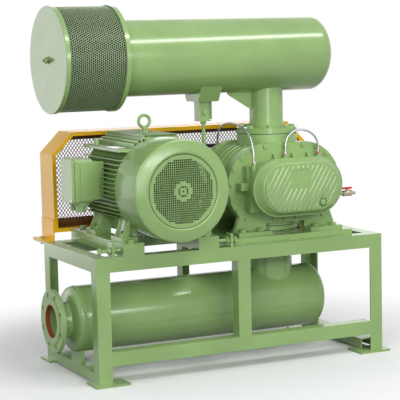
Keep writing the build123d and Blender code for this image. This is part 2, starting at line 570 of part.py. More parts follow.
ARCH_X, ARCH_Z = 102.0, 630.0  # opening between the feet, round the discharge port
with BuildPart() as blower_casing:
    extrude(stadium(blower_plane(CHAMBER_Y), CASING_R, SHAFT_GAP), amount=2 * CHAMBER_Y)
    for y in (-90.0, -46.0, 0.0, 46.0, 90.0):
        extrude(stadium(blower_plane(y + 5), RIB_R, SHAFT_GAP), amount=10)
    for y in (-CHAMBER_Y + 20, CHAMBER_Y):
        extrude(stadium(blower_plane(y), END_PLATE_R, SHAFT_GAP), amount=20)
    block(BLOWER_X - ARCH_X, BLOWER_X + ARCH_X, -CHAMBER_Y, CHAMBER_Y, BASE_TOP, ARCH_Z, Mode.SUBTRACT)
    rod(PORT_R, (BLOWER_X, 0, SHAFT_Z + 100), (BLOWER_X, 0, INLET_NECK_Z))
    rod(PORT_R - 5, (BLOWER_X, 0, SHAFT_Z - END_PLATE_R), (BLOWER_X, 0, SHAFT_Z - 100))
    bore_both(CHAMBER_R, -CHAMBER_Y, CHAMBER_Y)
    rod(75, (BLOWER_X, 0, SHAFT_Z - END_PLATE_R), (BLOWER_X, 0, INLET_NECK_Z), Mode.SUBTRACT)
    with Locations(*ring_places((BLOWER_X, 0, INLET_NECK_Z), (0, 0, 1), FLANGE_PCD, FLANGE_BOLTS)):
        Cylinder(8.3, 30, align=(Align.CENTER, Align.CENTER, Align.MAX), mode=Mode.SUBTRACT)
    with Locations(*ring_places((BLOWER_X, 0, SHAFT_Z - END_PLATE_R), (0, 0, 1), FLANGE_PCD, 8)):
        Cylinder(8.3, 26, align=(Align.CENTER, Align.CENTER, Align.MIN), mode=Mode.SUBTRACT)
keep(blower_casing, "blower_casing")

RIM_BOLT_R = 183.0
RIM_TURNS = [21.0 * (i + 1) for i in range(7)]
ARCH_BOLT_Z = ARCH_Z + 18


def rim_places(y, facing):
    """Places of the bolts round an end plate's rim, their heads standing towards facing."""
    spots = [(DRIVEN_X - RIM_BOLT_R * math.sin(math.radians(t)),
              SHAFT_Z + RIM_BOLT_R * math.cos(math.radians(t))) for t in RIM_TURNS]
    spots += [(DRIVE_X + RIM_BOLT_R * math.sin(math.radians(t)),
               SHAFT_Z + RIM_BOLT_R * math.cos(math.radians(t))) for t in RIM_TURNS]
    spots += [(x, SHAFT_Z + RIM_BOLT_R) for x in (DRIVEN_X, BLOWER_X, DRIVE_X)]
    spots += [(BLOWER_X + u, ARCH_BOLT_Z) for u in (-60, 0, 60)]
    return [Plane(origin=(x, y, z), z_dir=(0, facing, 0)).location for x, z in spots]


def end_plate(y_inner, facing):
    """End plate with its two bearing seats and its two splayed feet."""
    y_outer = y_inner + facing * END_PLATE_T
    with BuildPart() as piece:
        outline = stadium(blower_plane(max(y_inner, y_outer)), END_PLATE_R, SHAFT_GAP)
        extrude(outline, amount=END_PLATE_T)
        for side in (-1, 1):
            with BuildSketch(blower_plane(max(y_inner, y_outer))):
                with BuildLine():
                    Polyline(
                        (side * 233, FOOT_TOP - SHAFT_Z), (side * 273, BASE_TOP - SHAFT_Z),
                        (side * ARCH_X, BASE_TOP - SHAFT_Z), (side * ARCH_X, -130), close=True,
                    )
                make_face()
            extrude(amount=END_PLATE_T)
            x_far, x_near = BLOWER_X + side * 273, BLOWER_X + side * ARCH_X
            y_far = y_outer + facing * FOOT_OUT
            block(min(x_far, x_near), max(x_far, x_near), min(y_inner, y_far), max(y_inner, y_far),
                  BASE_TOP, BASE_TOP + FOOT_H)
        block(BLOWER_X - ARCH_X, BLOWER_X + ARCH_X, min(y_inner, y_outer), max(y_inner, y_outer),
              BASE_TOP, ARCH_Z, Mode.SUBTRACT)
        bore_both(BEARING_R, y_inner, y_outer)
        for x in FOOT_BOLT_XS:
            foot_y = facing * FOOT_BOLT_Y
            rod(8.5, (x, foot_y, BASE_TOP), (x, foot_y, BASE_TOP + FOOT_H), Mode.SUBTRACT)
        with Locations(*rim_places(y_outer, facing)):
            Cylinder(6.3, END_PLATE_T, align=(Align.CENTER, Align.CENTER, Align.MAX),
                     mode=Mode.SUBTRACT)
    return piece.part


FLANGE_BOLT_R, FLANGE_TURNS = 126.0, [0, 45, 90, 135, 180]


def flange_places(y):
    """Places of the screws round the gear case's flange, their heads towards the blower."""
    spots = []
    for side in (-1, 1):
        spots += [(side * (SHAFT_GAP / 2 + FLANGE_BOLT_R * math.sin(math.radians(t))),
                   FLANGE_BOLT_R * math.cos(math.radians(t))) for t in FLANGE_TURNS]
    return [Plane(origin=(BLOWER_X + u, y, SHAFT_Z + v), z_dir=(0, 1, 0)).location for u, v in spots]


with BuildPart() as front_end_plate:
    add(end_plate(-CHAMBER_Y, -1))
keep(front_end_plate, "front_end_plate")

with BuildPart() as rear_end_plate:
    add(end_plate(CHAMBER_Y, 1))
keep(rear_end_plate, "rear_end_plate")

with BuildPart() as shaft_bearings:
    for y in MOTOR_BEARING_YS:
        with BuildSketch(motor_plane(y + BEARING_W)):
            Circle(MOTOR_BEARING_R)
            Circle(MOTOR_SHAFT_R + 2 + RUN_FIT, mode=Mode.SUBTRACT)
        extrude(amount=BEARING_W)
    for y in (-CHAMBER_Y - END_PLATE_T, CHAMBER_Y + 1):
        bore_both(BEARING_R, y, y + END_PLATE_T - 1, Mode.ADD)
        bore_both(JOURNAL_R + RUN_FIT, y, y + END_PLATE_T - 1)
keep(shaft_bearings, "shaft_bearings")

CASE_Y1, CASE_WALL, CASE_FLANGE_T = -CHAMBER_Y - END_PLATE_T, 10.0, 10.0
HOSE_BOSS_LEFT, HOSE_BOSS_RIGHT0, HOSE_BOSS_RIGHT1 = (101.0, -235.0), (290.0, -190.0), (466.0, -190.0)
HOSE_BOSS_R, BOSS_TOP, LEFT_BOSS_TOP = 13.0, 940.0, 915.0
DRAIN_X, DRAIN_Y, DRAIN_Z = DRIVE_X + 128, -240.0, 750.0
PAD_OUT = 118.0  # distance of the cast pads' faces from the nearer shaft
with BuildPart() as gear_case:
    extrude(stadium(blower_plane(CASE_Y1), CASE_BODY_R, SHAFT_GAP), amount=CASE_Y1 - GEAR_CASE_Y)
    flange = stadium(blower_plane(GEAR_CASE_Y + CASE_FLANGE_T), CASE_FLANGE_R, SHAFT_GAP)
    extrude(flange, amount=CASE_FLANGE_T)
    for side, shaft_x in ((-1, DRIVEN_X), (1, DRIVE_X)):
        for low, high, out, y_end in ((-112, -30, PAD_OUT - 6, -232.0), (34, 98, PAD_OUT, -212.0),
                                      (-12, 22, PAD_OUT + 36, -222.0)):
            near, far = shaft_x + side * 50, shaft_x + side * out
            block(min(near, far), max(near, far), y_end, CASE_Y1, SHAFT_Z + low, SHAFT_Z + high)
    rod(HOSE_BOSS_R, (*HOSE_BOSS_LEFT, 850), (*HOSE_BOSS_LEFT, LEFT_BOSS_TOP))
    rod(HOSE_BOSS_R, (*HOSE_BOSS_RIGHT0, 915), (*HOSE_BOSS_RIGHT0, BOSS_TOP))
    rod(HOSE_BOSS_R, (*HOSE_BOSS_RIGHT1, 880), (*HOSE_BOSS_RIGHT1, BOSS_TOP))
    for u in (-60.0, 38.0, 118.0):
        with BuildSketch(Plane(origin=(BLOWER_X + u - 4, 0, 0), x_dir=(0, 1, 0), z_dir=(1, 0, 0))):
            with BuildLine():
                Polyline((CASE_Y1, 905), (CASE_Y1, 952), (CASE_Y1 - 14, 952), (CASE_Y1 - 55, 905),
                         close=True)
            make_face()
        extrude(amount=8)
    rod(HOSE_BOSS_R, (DRIVE_X + 90, DRAIN_Y, DRAIN_Z), (DRAIN_X, DRAIN_Y, DRAIN_Z))
    chamber = stadium(blower_plane(CASE_Y1), CASE_BODY_R - CASE_WALL, SHAFT_GAP)
    extrude(chamber, amount=CASE_Y1 - GEAR_CASE_Y, mode=Mode.SUBTRACT)
    rod(6.5, (DRIVE_X + 80, DRAIN_Y, DRAIN_Z), (DRAIN_X, DRAIN_Y, DRAIN_Z), Mode.SUBTRACT)
    with Locations(*flange_places(GEAR_CASE_Y + CASE_FLANGE_T)):
        Cylinder(4.3, CASE_FLANGE_T, align=(Align.CENTER, Align.CENTER, Align.MAX), mode=Mode.SUBTRACT)
keep(gear_case, "gear_case")

GLASS_X, GLASS_Z, GLASS_R = 401.0, 730.0, 16.0
COVER_FLANGE_T, COVER_WALL = 12.0, 12.0
RIB_LEAN, RIB_PITCH, RIB_W, RIB_H = math.radians(59), 38.0, 9.0, 4.0
with BuildPart() as gear_cover:
    rim = stadium(blower_plane(GEAR_CASE_Y), CASE_FLANGE_R, SHAFT_GAP)
    extrude(rim, amount=COVER_FLANGE_T)
    with BuildSketch(blower_plane(GEAR_CASE_Y - COVER_FLANGE_T)):
        SlotCenterToCenter(SHAFT_GAP - 4, 2 * (CASE_FLANGE_R - 4))
    with BuildSketch(blower_plane(COVER_Y)):
        SlotCenterToCenter(COVER_SPAN, 2 * COVER_R)
    loft()
    fillet(gear_cover.edges().group_by(Axis.Y)[0], 7)
    cavity = stadium(blower_plane(GEAR_CASE_Y), COVER_R - COVER_WALL, COVER_SPAN)
    extrude(cavity, amount=GEAR_CASE_Y - COVER_Y - COVER_WALL, mode=Mode.SUBTRACT)
    with BuildSketch(blower_plane(COVER_Y)):
        for step in range(-5, 6):
            with Locations((RIB_PITCH * step, 0)):
                Rectangle(300, RIB_W, rotation=math.degrees(RIB_LEAN))
        SlotCenterToCenter(COVER_SPAN, 2 * (COVER_R - 8), mode=Mode.INTERSECT)
        with Locations((-8, 36)):
            Rectangle(150, 92, mode=Mode.SUBTRACT)
    extrude(amount=RIB_H)
    rod(GLASS_R + 5, (GLASS_X, COVER_Y, GLASS_Z), (GLASS_X, COVER_Y - 6, GLASS_Z))
    rod(GLASS_R, (GLASS_X, COVER_Y - 6, GLASS_Z), (GLASS_X, COVER_Y + COVER_WALL, GLASS_Z),
        Mode.SUBTRACT)
    with Locations(*flange_places(GEAR_CASE_Y)):
        Cylinder(4.3, 10, align=(Align.CENTER, Align.CENTER, Align.MAX), mode=Mode.SUBTRACT)
keep(gear_cover, "gear_cover")

with BuildPart() as sight_glass:
    rod(GLASS_R, (GLASS_X, COVER_Y + COVER_WALL, GLASS_Z), (GLASS_X, COVER_Y - 4, GLASS_Z))
keep(sight_glass, "sight_glass")

REAR_Y = CHAMBER_Y + END_PLATE_T
REAR_COVER_R, REAR_COVER_T = 90.0, 40.0
REAR_BOSS = (130.0, 196.0)
with BuildPart() as bearing_covers:
    bore_both(REAR_COVER_R, REAR_Y, REAR_Y + REAR_COVER_T, Mode.ADD)
    rod(13, (*REAR_BOSS, 850), (*REAR_BOSS, 886))
    bore_both(JOURNAL_R + 2, REAR_Y, REAR_Y + 18)
    rod(DRIVE_END_R + 0.6, (DRIVE_X, REAR_Y, SHAFT_Z), (DRIVE_X, REAR_Y + REAR_COVER_T, SHAFT_Z),
        Mode.SUBTRACT)
keep(bearing_covers, "bearing_covers")

with BuildPart() as blower_bolts:
    with Locations(*rim_places(-REAR_Y, -1), *rim_places(REAR_Y, 1)):
        add(bolt(12, END_PLATE_T, washer=False))
    with Locations(*flange_places(GEAR_CASE_Y + CASE_FLANGE_T)):
        add(bolt(8, CASE_FLANGE_T + 9, washer=False))
    with Locations(*[(x, sy * FOOT_BOLT_Y, BASE_TOP + FOOT_H) for x in FOOT_BOLT_XS for sy in (-1, 1)]):
        add(bolt(16, FOOT_H + BASE_T - 2))
keep(blower_bolts, "blower_bolts")

# ---- rotors and timing gears --------------------------------------------------------
def cycloid_point(radius, turn, outside):
    """Point of the curve that a circle of ROLL_R draws as it rolls on a circle, out- or inside."""
    sign = 1 if outside else -1
    arm = radius + sign * ROLL_R
    spin = arm / ROLL_R * turn
    return (
        arm * math.cos(turn) - sign * ROLL_R * math.cos(spin),
        arm * math.sin(turn) - ROLL_R * math.sin(spin),
    )


def lobe_points(outside, start_turn, steps=7):
    """One lobe or hollow of the rotor, drawn ROTOR_GAP inside the exact cycloid."""
    span, small = math.pi / LOBES, 1e-4
    points = []
    for i in range(steps + 1):
        turn = min(max(span * i / steps, small), span - small)
        x0, y0 = cycloid_point(PITCH_R, turn - small / 2, outside)
        x1, y1 = cycloid_point(PITCH_R, turn + small / 2, outside)
        length = math.hypot(x1 - x0, y1 - y0)
        x, y = cycloid_point(PITCH_R, turn, outside)
        x, y = x - ROTOR_GAP * (y1 - y0) / length, y + ROTOR_GAP * (x1 - x0) / length
        c, s = math.cos(start_turn), math.sin(start_turn)
        points.append((x * c - y * s, x * s + y * c))
    return points


def rotor_body():
    """Three-lobed rotor about Y, one lobe pointing to -X."""
    with BuildPart() as piece:
        with BuildSketch(Plane(origin=(0, CHAMBER_Y - ROTOR_GAP, 0), x_dir=(1, 0, 0), z_dir=(0, -1, 0))):
            with BuildLine():
                first = None
                last = None
                for part in range(2 * LOBES):
                    outside = part % 2 == 0
                    points = lobe_points(outside, math.pi - math.pi / (2 * LOBES) + part * math.pi / LOBES)
                    if last:
                        points[0] = last
                    if part == 2 * LOBES - 1:
                        points[-1] = first
                    first = first or points[0]
                    last = points[-1]
                    Spline(*points)
            make_face()
        extrude(amount=2 * (CHAMBER_Y - ROTOR_GAP))
    return piece.part


SHAFT_Y0, STUB_Y1, DRIVE_Y1 = -292.0, REAR_Y + 12, 398.0
with BuildPart() as drive_rotor:
    add(rotor_body().moved(Location((DRIVE_X, 0, SHAFT_Z))))
    rod(JOURNAL_R, (DRIVE_X, SHAFT_Y0, SHAFT_Z), (DRIVE_X, REAR_Y, SHAFT_Z))
    rod(DRIVE_END_R, (DRIVE_X, REAR_Y, SHAFT_Z), (DRIVE_X, DRIVE_Y1, SHAFT_Z))
keep(drive_rotor, "drive_rotor")

with BuildPart() as driven_rotor:
    add(rotor_body().moved(Location((DRIVEN_X, 0, SHAFT_Z))))
    rod(JOURNAL_R, (DRIVEN_X, SHAFT_Y0, SHAFT_Z), (DRIVEN_X, STUB_Y1, SHAFT_Z))
keep(driven_rotor, "driven_rotor")

GEAR_Y0, GEAR_Y1, BACKLASH = -282.0, -232.0, 0.2


def involute(angle):
    """Involute function of a pressure angle."""
    return math.tan(angle) - angle


def timing_gear(first_tooth):
    """Spur gear about Y, its bore on the rotor shaft, with one tooth at the angle first_tooth."""
    pitch_r = MODULE * GEAR_TEETH / 2
    base_r = pitch_r * math.cos(PRESSURE)
    radii = (base_r + 0.2, pitch_r - 2, pitch_r + 2, pitch_r + MODULE)
    halves = [
        math.pi / (2 * GEAR_TEETH) + involute(PRESSURE) - involute(math.acos(base_r / r))
        - BACKLASH / (2 * pitch_r) for r in radii
    ]
    root = pitch_r - 1.25 * MODULE
    outline = []
    for tooth in range(GEAR_TEETH):
        middle = first_tooth + 2 * math.pi * tooth / GEAR_TEETH
        flank = list(zip(radii, halves))
        outline.append((root, middle - halves[0]))
        outline += [(r, middle - half) for r, half in flank]
        outline += [(r, middle + half) for r, half in reversed(flank)]
        outline.append((root, middle + halves[0]))
    with BuildPart() as piece:
        with BuildSketch(Plane(origin=(0, GEAR_Y1, 0), x_dir=(1, 0, 0), z_dir=(0, -1, 0))):
            with BuildLine():
                Polyline(*[(r * math.cos(t), r * math.sin(t)) for r, t in outline], close=True)
            make_face()
            Circle(JOURNAL_R, mode=Mode.SUBTRACT)
        extrude(amount=GEAR_Y1 - GEAR_Y0)
        with BuildSketch(Plane(origin=(0, GEAR_Y0, 0), x_dir=(1, 0, 0), z_dir=(0, -1, 0))):
            Circle(root - 14)
            Circle(JOURNAL_R + 18, mode=Mode.SUBTRACT)
        extrude(amount=-16, mode=Mode.SUBTRACT)
    return piece.part


with BuildPart() as drive_gear:
    add(timing_gear(math.pi).moved(Location((DRIVE_X, 0, SHAFT_Z))))
keep(drive_gear, "drive_gear")

with BuildPart() as driven_gear:
    add(timing_gear(math.pi / GEAR_TEETH).moved(Location((DRIVEN_X, 0, SHAFT_Z))))
keep(driven_gear, "driven_gear")

# ---- drain line ---------------------------------------------------------------------
VALVE_X0, VALVE_X1, STEM_X = 566.0, 614.0, 590.0
with BuildPart() as drain_pipe:
    rod(8.5, (DRAIN_X, DRAIN_Y, DRAIN_Z), (VALVE_X0, DRAIN_Y, DRAIN_Z))
keep(drain_pipe, "drain_pipe")

with BuildPart() as valve_body:
    rod(13, (VALVE_X0 + 12, DRAIN_Y, DRAIN_Z), (VALVE_X1 - 12, DRAIN_Y, DRAIN_Z))
    for x in (VALVE_X0, VALVE_X1 - 12):
        with BuildSketch(Plane(origin=(x, DRAIN_Y, DRAIN_Z), z_dir=(1, 0, 0))):
            RegularPolygon(12, 6, major_radius=False)
        extrude(amount=12)
    rod(8, (STEM_X, DRAIN_Y, DRAIN_Z), (STEM_X, DRAIN_Y, DRAIN_Z + 18))
    rod(8, (VALVE_X1, DRAIN_Y, DRAIN_Z), (VALVE_X1 + 18, DRAIN_Y, DRAIN_Z))
    rod(4.1, (STEM_X, DRAIN_Y, DRAIN_Z + 8), (STEM_X, DRAIN_Y, DRAIN_Z + 18), Mode.SUBTRACT)
keep(valve_body, "valve_body")

with BuildPart() as valve_handle:
    rod(4, (STEM_X, DRAIN_Y, DRAIN_Z + 9), (STEM_X, DRAIN_Y, DRAIN_Z + 19))
    rod(9, (STEM_X, DRAIN_Y, DRAIN_Z + 19), (STEM_X, DRAIN_Y, DRAIN_Z + 27))
    block(STEM_X - 26, STEM_X + 26, DRAIN_Y - 4, DRAIN_Y + 4, DRAIN_Z + 20, DRAIN_Z + 29)
    fillet(valve_handle.edges().filter_by(Axis.Z).filter_by(GeomType.LINE), 3.5)
keep(valve_handle, "valve_handle")

# ---- oil hoses ----------------------------------------------------------------------
FITTING_H = 8.0
LEFT_ROUTE = [
    (101, -235, 935), (101, -235, 1000), (99, -165, 1074), (97, -40, 1097),
    (100, 70, 1086), (112, 150, 1046), (130, 196, 982), (130, 196, 906),
]
RIGHT_ROUTE = [
    (290, -190, 960), (290, -190, 1008), (320, -190, 1047), (374, -190, 1062),
    (428, -190, 1045), (466, -190, 1004), (466, -190, 960),
]


def hose(route):
    """Round hose along straight runs joined by tangent arcs, as large as the runs allow."""
    points = [Vector(*p) for p in route]
    runs = [b - a for a, b in zip(points, points[1:])]
    turns = [a.get_angle(b) for a, b in zip(runs, runs[1:])]
    radii = [
        0.45 * min(a.length, b.length) / math.tan(math.radians(turn) / 2)
        for a, b, turn in zip(runs, runs[1:], turns)
    ]
    print("hose radii", [round(r) for r in radii], "turns", [round(t) for t in turns])
    with BuildPart() as piece:
        with BuildLine() as path:
            FilletPolyline(*points, radius=radii)
        with BuildSketch(Plane(origin=points[0], z_dir=runs[0])):
            Circle(HOSE_R)
        route_wire = path.wires()[0]
        sweep(path=route_wire)
    section = math.pi * HOSE_R ** 2
    print("hose length", round(route_wire.length), "volume ratio",
          round(piece.part.volume / (section * route_wire.length), 4))
    return piece.part


with BuildPart() as left_hose:
    add(hose(LEFT_ROUTE))
keep(left_hose, "left_hose")

with BuildPart() as right_hose:
    add(hose(RIGHT_ROUTE))
keep(right_hose, "right_hose")

with BuildPart() as hose_fittings:
    for (x, y), boss_z, hose_z in (
        (HOSE_BOSS_LEFT, LEFT_BOSS_TOP, LEFT_ROUTE[0][2]), (REAR_BOSS, 886.0, LEFT_ROUTE[-1][2]),
        (HOSE_BOSS_RIGHT0, BOSS_TOP, RIGHT_ROUTE[0][2]), (HOSE_BOSS_RIGHT1, BOSS_TOP, RIGHT_ROUTE[-1][2]),
    ):
        with BuildSketch(Plane.XY.offset(boss_z)):
            with Locations((x, y)):
                RegularPolygon(9.5, 6, major_radius=False)
        extrude(amount=FITTING_H)
        rod(7.5, (x, y, boss_z + FITTING_H), (x, y, hose_z))
keep(hose_fittings, "hose_fittings")

# ---- outlet -------------------------------------------------------------------------
OUTLET_TOP = SHAFT_Z - END_PLATE_R
GASKET_T = 3.0
RING_Z0, RISER_FLANGE_Z1, RISER_FLANGE_Z0 = 588.0, 585.0, 565.0


def drilled_disc(z0, z1, radius, bore, holes=True):
    """Flange round the blower's port axis, with its bolt holes."""
    rod(radius, (BLOWER_X, 0, z0), (BLOWER_X, 0, z1))
    rod(bore, (BLOWER_X, 0, z0), (BLOWER_X, 0, z1), Mode.SUBTRACT)
    if holes:
        with Locations(*ring_places((BLOWER_X, 0, z0), (0, 0, 1), FLANGE_PCD, FLANGE_BOLTS)):
            Cylinder(9, z1 - z0, align=(Align.CENTER, Align.CENTER, Align.MIN), mode=Mode.SUBTRACT)


with BuildPart() as outlet_ring:
    drilled_disc(RING_Z0, OUTLET_TOP - GASKET_T, 137, 75)
keep(outlet_ring, "outlet_ring")

with BuildPart() as flange_gaskets:
    drilled_disc(OUTLET_TOP - GASKET_T, OUTLET_TOP, 136, 75)
    drilled_disc(RISER_FLANGE_Z1, RING_Z0, 136, 75)
    drilled_disc(INLET_NECK_Z, INLET_FLANGE_Z, 141, 75)
keep(flange_gaskets, "flange_gaskets")

with BuildPart() as outlet_riser:
    port_axis = Axis((BLOWER_X, 0, 0), (0, 0, 1))
    wall = 6.0
    with BuildSketch(Plane.XZ):
        with BuildLine():
            Polyline(
                (BLOWER_X + RISER_R - wall, 300), (BLOWER_X + RISER_R, 300), (BLOWER_X + RISER_R, 500),
                (BLOWER_X + 86, 545), (BLOWER_X + 86, RISER_FLANGE_Z0), (BLOWER_X + 140, RISER_FLANGE_Z0),
                (BLOWER_X + 140, RISER_FLANGE_Z1), (BLOWER_X + 75, RISER_FLANGE_Z1),
                (BLOWER_X + 75, 543), (BLOWER_X + RISER_R - wall, 498), close=True,
            )
        make_face()
    revolve(axis=port_axis)
    rod(DISCHARGE_R, (0, 0, DISCHARGE_Z), (BLOWER_X + 200, 0, DISCHARGE_Z), Mode.SUBTRACT)
    with Locations(*ring_places((BLOWER_X, 0, RISER_FLANGE_Z0), (0, 0, 1), FLANGE_PCD, FLANGE_BOLTS)):
        Cylinder(9, 20, align=(Align.CENTER, Align.CENTER, Align.MIN), mode=Mode.SUBTRACT)
keep(outlet_riser, "outlet_riser")

with BuildPart() as flange_bolts:
    with Locations(*ring_places((BLOWER_X, 0, RISER_FLANGE_Z0), (0, 0, -1), FLANGE_PCD, FLANGE_BOLTS)):
        add(bolt(16, OUTLET_TOP - RISER_FLANGE_Z0 + 22, washer=False))
    with Locations(*ring_places((BLOWER_X, 0, INLET_FLANGE_Z + 26), (0, 0, 1), FLANGE_PCD, FLANGE_BOLTS)):
        add(bolt(16, 26 + GASKET_T + 24, washer=False))
keep(flange_bolts, "flange_bolts")

# ---- silencers and filter -----------------------------------------------------------


def dished_shell(x0, x1, x_end, radius, wall):
    """Cylinder about +X from x0 to x1, closed by a dished head that reaches x_end."""
    rise = x_end - x1
    with BuildSketch(Plane.XZ) as section:
        with BuildLine():
            Line((x0, radius - wall), (x0, radius))
            Line((x0, radius), (x1, radius))
            EllipticalCenterArc((x1, 0), rise, radius, start_angle=0, arc_size=90)
            Line((x1 + rise, 0), (x1 + rise - wall, 0))
            EllipticalCenterArc((x1, 0), rise - wall, radius - wall, start_angle=0, arc_size=90)
            Line((x1, radius - wall), (x0, radius - wall))
        make_face()
    revolve(section.sketch, axis=Axis.X)


TANK_WALL = 4.0
with BuildPart() as inlet_silencer:
    dished_shell(SILENCER_X0, SILENCER_X1, SILENCER_END, SILENCER_R, TANK_WALL)
    rod(NECK_R - 4, (BLOWER_X, 0, -SILENCER_R - 5), (BLOWER_X, 0, 0), Mode.SUBTRACT)
inlet_silencer.part = inlet_silencer.part.moved(Location((0, 0, SILENCER_Z)))
keep(inlet_silencer, "inlet_silencer")

with BuildPart() as inlet_pipe:
    rod(NECK_R, (BLOWER_X, 0, INLET_FLANGE_Z), (BLOWER_X, 0, SILENCER_Z - 150))
    rod(SILENCER_R, (BLOWER_X - 200, 0, SILENCER_Z), (BLOWER_X + 200, 0, SILENCER_Z), Mode.SUBTRACT)
    rod(PORT_R, (BLOWER_X, 0, INLET_FLANGE_Z), (BLOWER_X, 0, INLET_FLANGE_Z + 26))
    rod(NECK_R - 4.5, (BLOWER_X, 0, INLET_FLANGE_Z), (BLOWER_X, 0, SILENCER_Z - 100), Mode.SUBTRACT)
    with Locations(*ring_places((BLOWER_X, 0, INLET_FLANGE_Z), (0, 0, 1), FLANGE_PCD, FLANGE_BOLTS)):
        Cylinder(9, 26, align=(Align.CENTER, Align.CENTER, Align.MIN), mode=Mode.SUBTRACT)
keep(inlet_pipe, "inlet_pipe")

RING_BACK_X, STUD_R = SILENCER_X0, 6.0
with BuildPart() as filter_back_ring:
    with BuildSketch(Plane(origin=(RING_BACK_X - 4, 0, SILENCER_Z), z_dir=(1, 0, 0))):
        Circle(FILTER_R)
        Circle(80, mode=Mode.SUBTRACT)
    extrude(amount=4)
    with BuildSketch(Plane(origin=(RING_BACK_X - 4, 0, SILENCER_Z), z_dir=(-1, 0, 0))):
        Circle(FILTER_R)
        Circle(FILTER_R - 2, mode=Mode.SUBTRACT)
    extrude(amount=16)

    rod(STUD_R, (FILTER_X0 - 26, 0, SILENCER_Z), (SILENCER_X0 - 8, 0, SILENCER_Z))
    block(SILENCER_X0 - 8, SILENCER_X0 - 4, -110, 110, SILENCER_Z - 12, SILENCER_Z + 12)
keep(filter_back_ring, "filter_back_ring")

SCREEN_R, SCREEN_X0, SCREEN_X1 = FILTER_R - 5, FILTER_X0 + 3, RING_BACK_X - 5
with BuildPart() as filter_screen:
    with BuildSketch(Plane(origin=(SCREEN_X0, 0, SILENCER_Z), z_dir=(1, 0, 0))):
        Circle(SCREEN_R)
        Circle(SCREEN_R - 2, mode=Mode.SUBTRACT)
    extrude(amount=SCREEN_X1 - SCREEN_X0)
    for i in range(12):
        turn = math.radians(15 + 30 * i)
        centre_y, centre_z = SCREEN_R * math.cos(turn), SILENCER_Z + SCREEN_R * math.sin(turn)
        with Locations(*[
            Plane(origin=(x, centre_y, centre_z), x_dir=(1, 0, 0),
                  z_dir=(0, math.cos(turn), math.sin(turn))).location
            for x in (FILTER_X0 + 55, FILTER_X0 + 115, FILTER_X0 + 175, FILTER_X0 + 235)
        ]):
            Box(34, 60, 24, mode=Mode.SUBTRACT)
keep(filter_screen, "filter_screen")

with BuildPart() as filter_cap:
    with BuildSketch(Plane(origin=(FILTER_X0, 0, SILENCER_Z), z_dir=(1, 0, 0))):
        Circle(FILTER_R)
        Circle(STUD_R + 0.6, mode=Mode.SUBTRACT)
    extrude(amount=3)
    with BuildSketch(Plane(origin=(FILTER_X0, 0, SILENCER_Z), z_dir=(1, 0, 0))):
        Circle(FILTER_R)
        Circle(FILTER_R - 2, mode=Mode.SUBTRACT)
    extrude(amount=FILTER_RIM)
    fillet(filter_cap.edges().group_by(Axis.X)[0].filter_by(GeomType.CIRCLE).sort_by(SortBy.LENGTH)[-1], 2)
keep(filter_cap, "filter_cap")

with BuildPart() as filter_element:
    with BuildSketch(Plane(origin=(FILTER_X0 + 12, 0, SILENCER_Z), z_dir=(1, 0, 0))):
        Circle(205)
        Circle(150, mode=Mode.SUBTRACT)
    extrude(amount=RING_BACK_X - 4 - FILTER_X0 - 12)
keep(filter_element, "filter_element")

with BuildPart() as wing_nut:
    rod(13, (FILTER_X0 - 3, 0, SILENCER_Z), (FILTER_X0 - 18, 0, SILENCER_Z))
    block(FILTER_X0 - 20, FILTER_X0 - 10, -34, 34, SILENCER_Z - 4, SILENCER_Z + 4)
    fillet(wing_nut.edges().filter_by(Axis.Z).group_by(Axis.X)[0], 4)
    rod(19, (FILTER_X0 - 0.5, 0, SILENCER_Z), (FILTER_X0 - 3, 0, SILENCER_Z))
    rod(STUD_R + RUN_FIT, (FILTER_X0 - 22, 0, SILENCER_Z), (FILTER_X0, 0, SILENCER_Z), Mode.SUBTRACT)
keep(wing_nut, "wing_nut")

# ---- silencer support ---------------------------------------------------------------
CRADLE_X0, CRADLE_X1, CRADLE_Z = -91.0, 15.0, 1200.0
POST_Z0 = 1108.0
with BuildPart() as support_cradle:
    with BuildSketch(Plane(origin=(CRADLE_X0, 0, 0), x_dir=(0, 1, 0), z_dir=(1, 0, 0))):
        with BuildLine():
            Polyline((-60, CRADLE_Z), (60, CRADLE_Z), (105, CRADLE_Z + 70), (-105, CRADLE_Z + 70),
                     close=True)
        make_face()
    extrude(amount=CRADLE_X1 - CRADLE_X0)
    with BuildSketch(Plane(origin=(CRADLE_X0 + 6, 0, 0), x_dir=(0, 1, 0), z_dir=(1, 0, 0))):
        with BuildLine():
            Polyline((-56, CRADLE_Z + 6), (56, CRADLE_Z + 6), (98, CRADLE_Z + 71), (-98, CRADLE_Z + 71),
                     close=True)
        make_face()
    extrude(amount=CRADLE_X1 - CRADLE_X0 - 12, mode=Mode.SUBTRACT)
    rod(SILENCER_R, (CRADLE_X0 - 1, 0, SILENCER_Z), (CRADLE_X1 + 1, 0, SILENCER_Z), Mode.SUBTRACT)
    block(-69, -20, -30, 20, POST_Z0 + 6, CRADLE_Z)
    block(-64, -20, -25, 15, POST_Z0 + 6, CRADLE_Z, Mode.SUBTRACT)
    block(-69, 19, 20, 26, POST_Z0 + 6, CRADLE_Z)
    block(-69, -10, -30, 26, POST_Z0, POST_Z0 + 6)
    rod(ROD_R + 0.5, (ROD_X, 0, POST_Z0), (ROD_X, 0, POST_Z0 + 6), Mode.SUBTRACT)
    rod(6, (-45, -31, POST_Z0 + 44), (-45, -24, POST_Z0 + 44), Mode.SUBTRACT)
keep(support_cradle, "support_cradle")

with BuildPart() as support_rod:
    rod(ROD_R, (ROD_X, 0, FRAME_H), (ROD_X, 0, POST_Z0 + 28))
    for z in (FRAME_H, POST_Z0 - 13, POST_Z0 + 6):
        with Locations((ROD_X, 0, z)):
            add(nut(16, 13))
    with Locations(Plane(origin=(-45, -30, POST_Z0 + 44), z_dir=(0, -1, 0)).location):
        add(bolt(12, 6))
keep(support_rod, "support_rod")

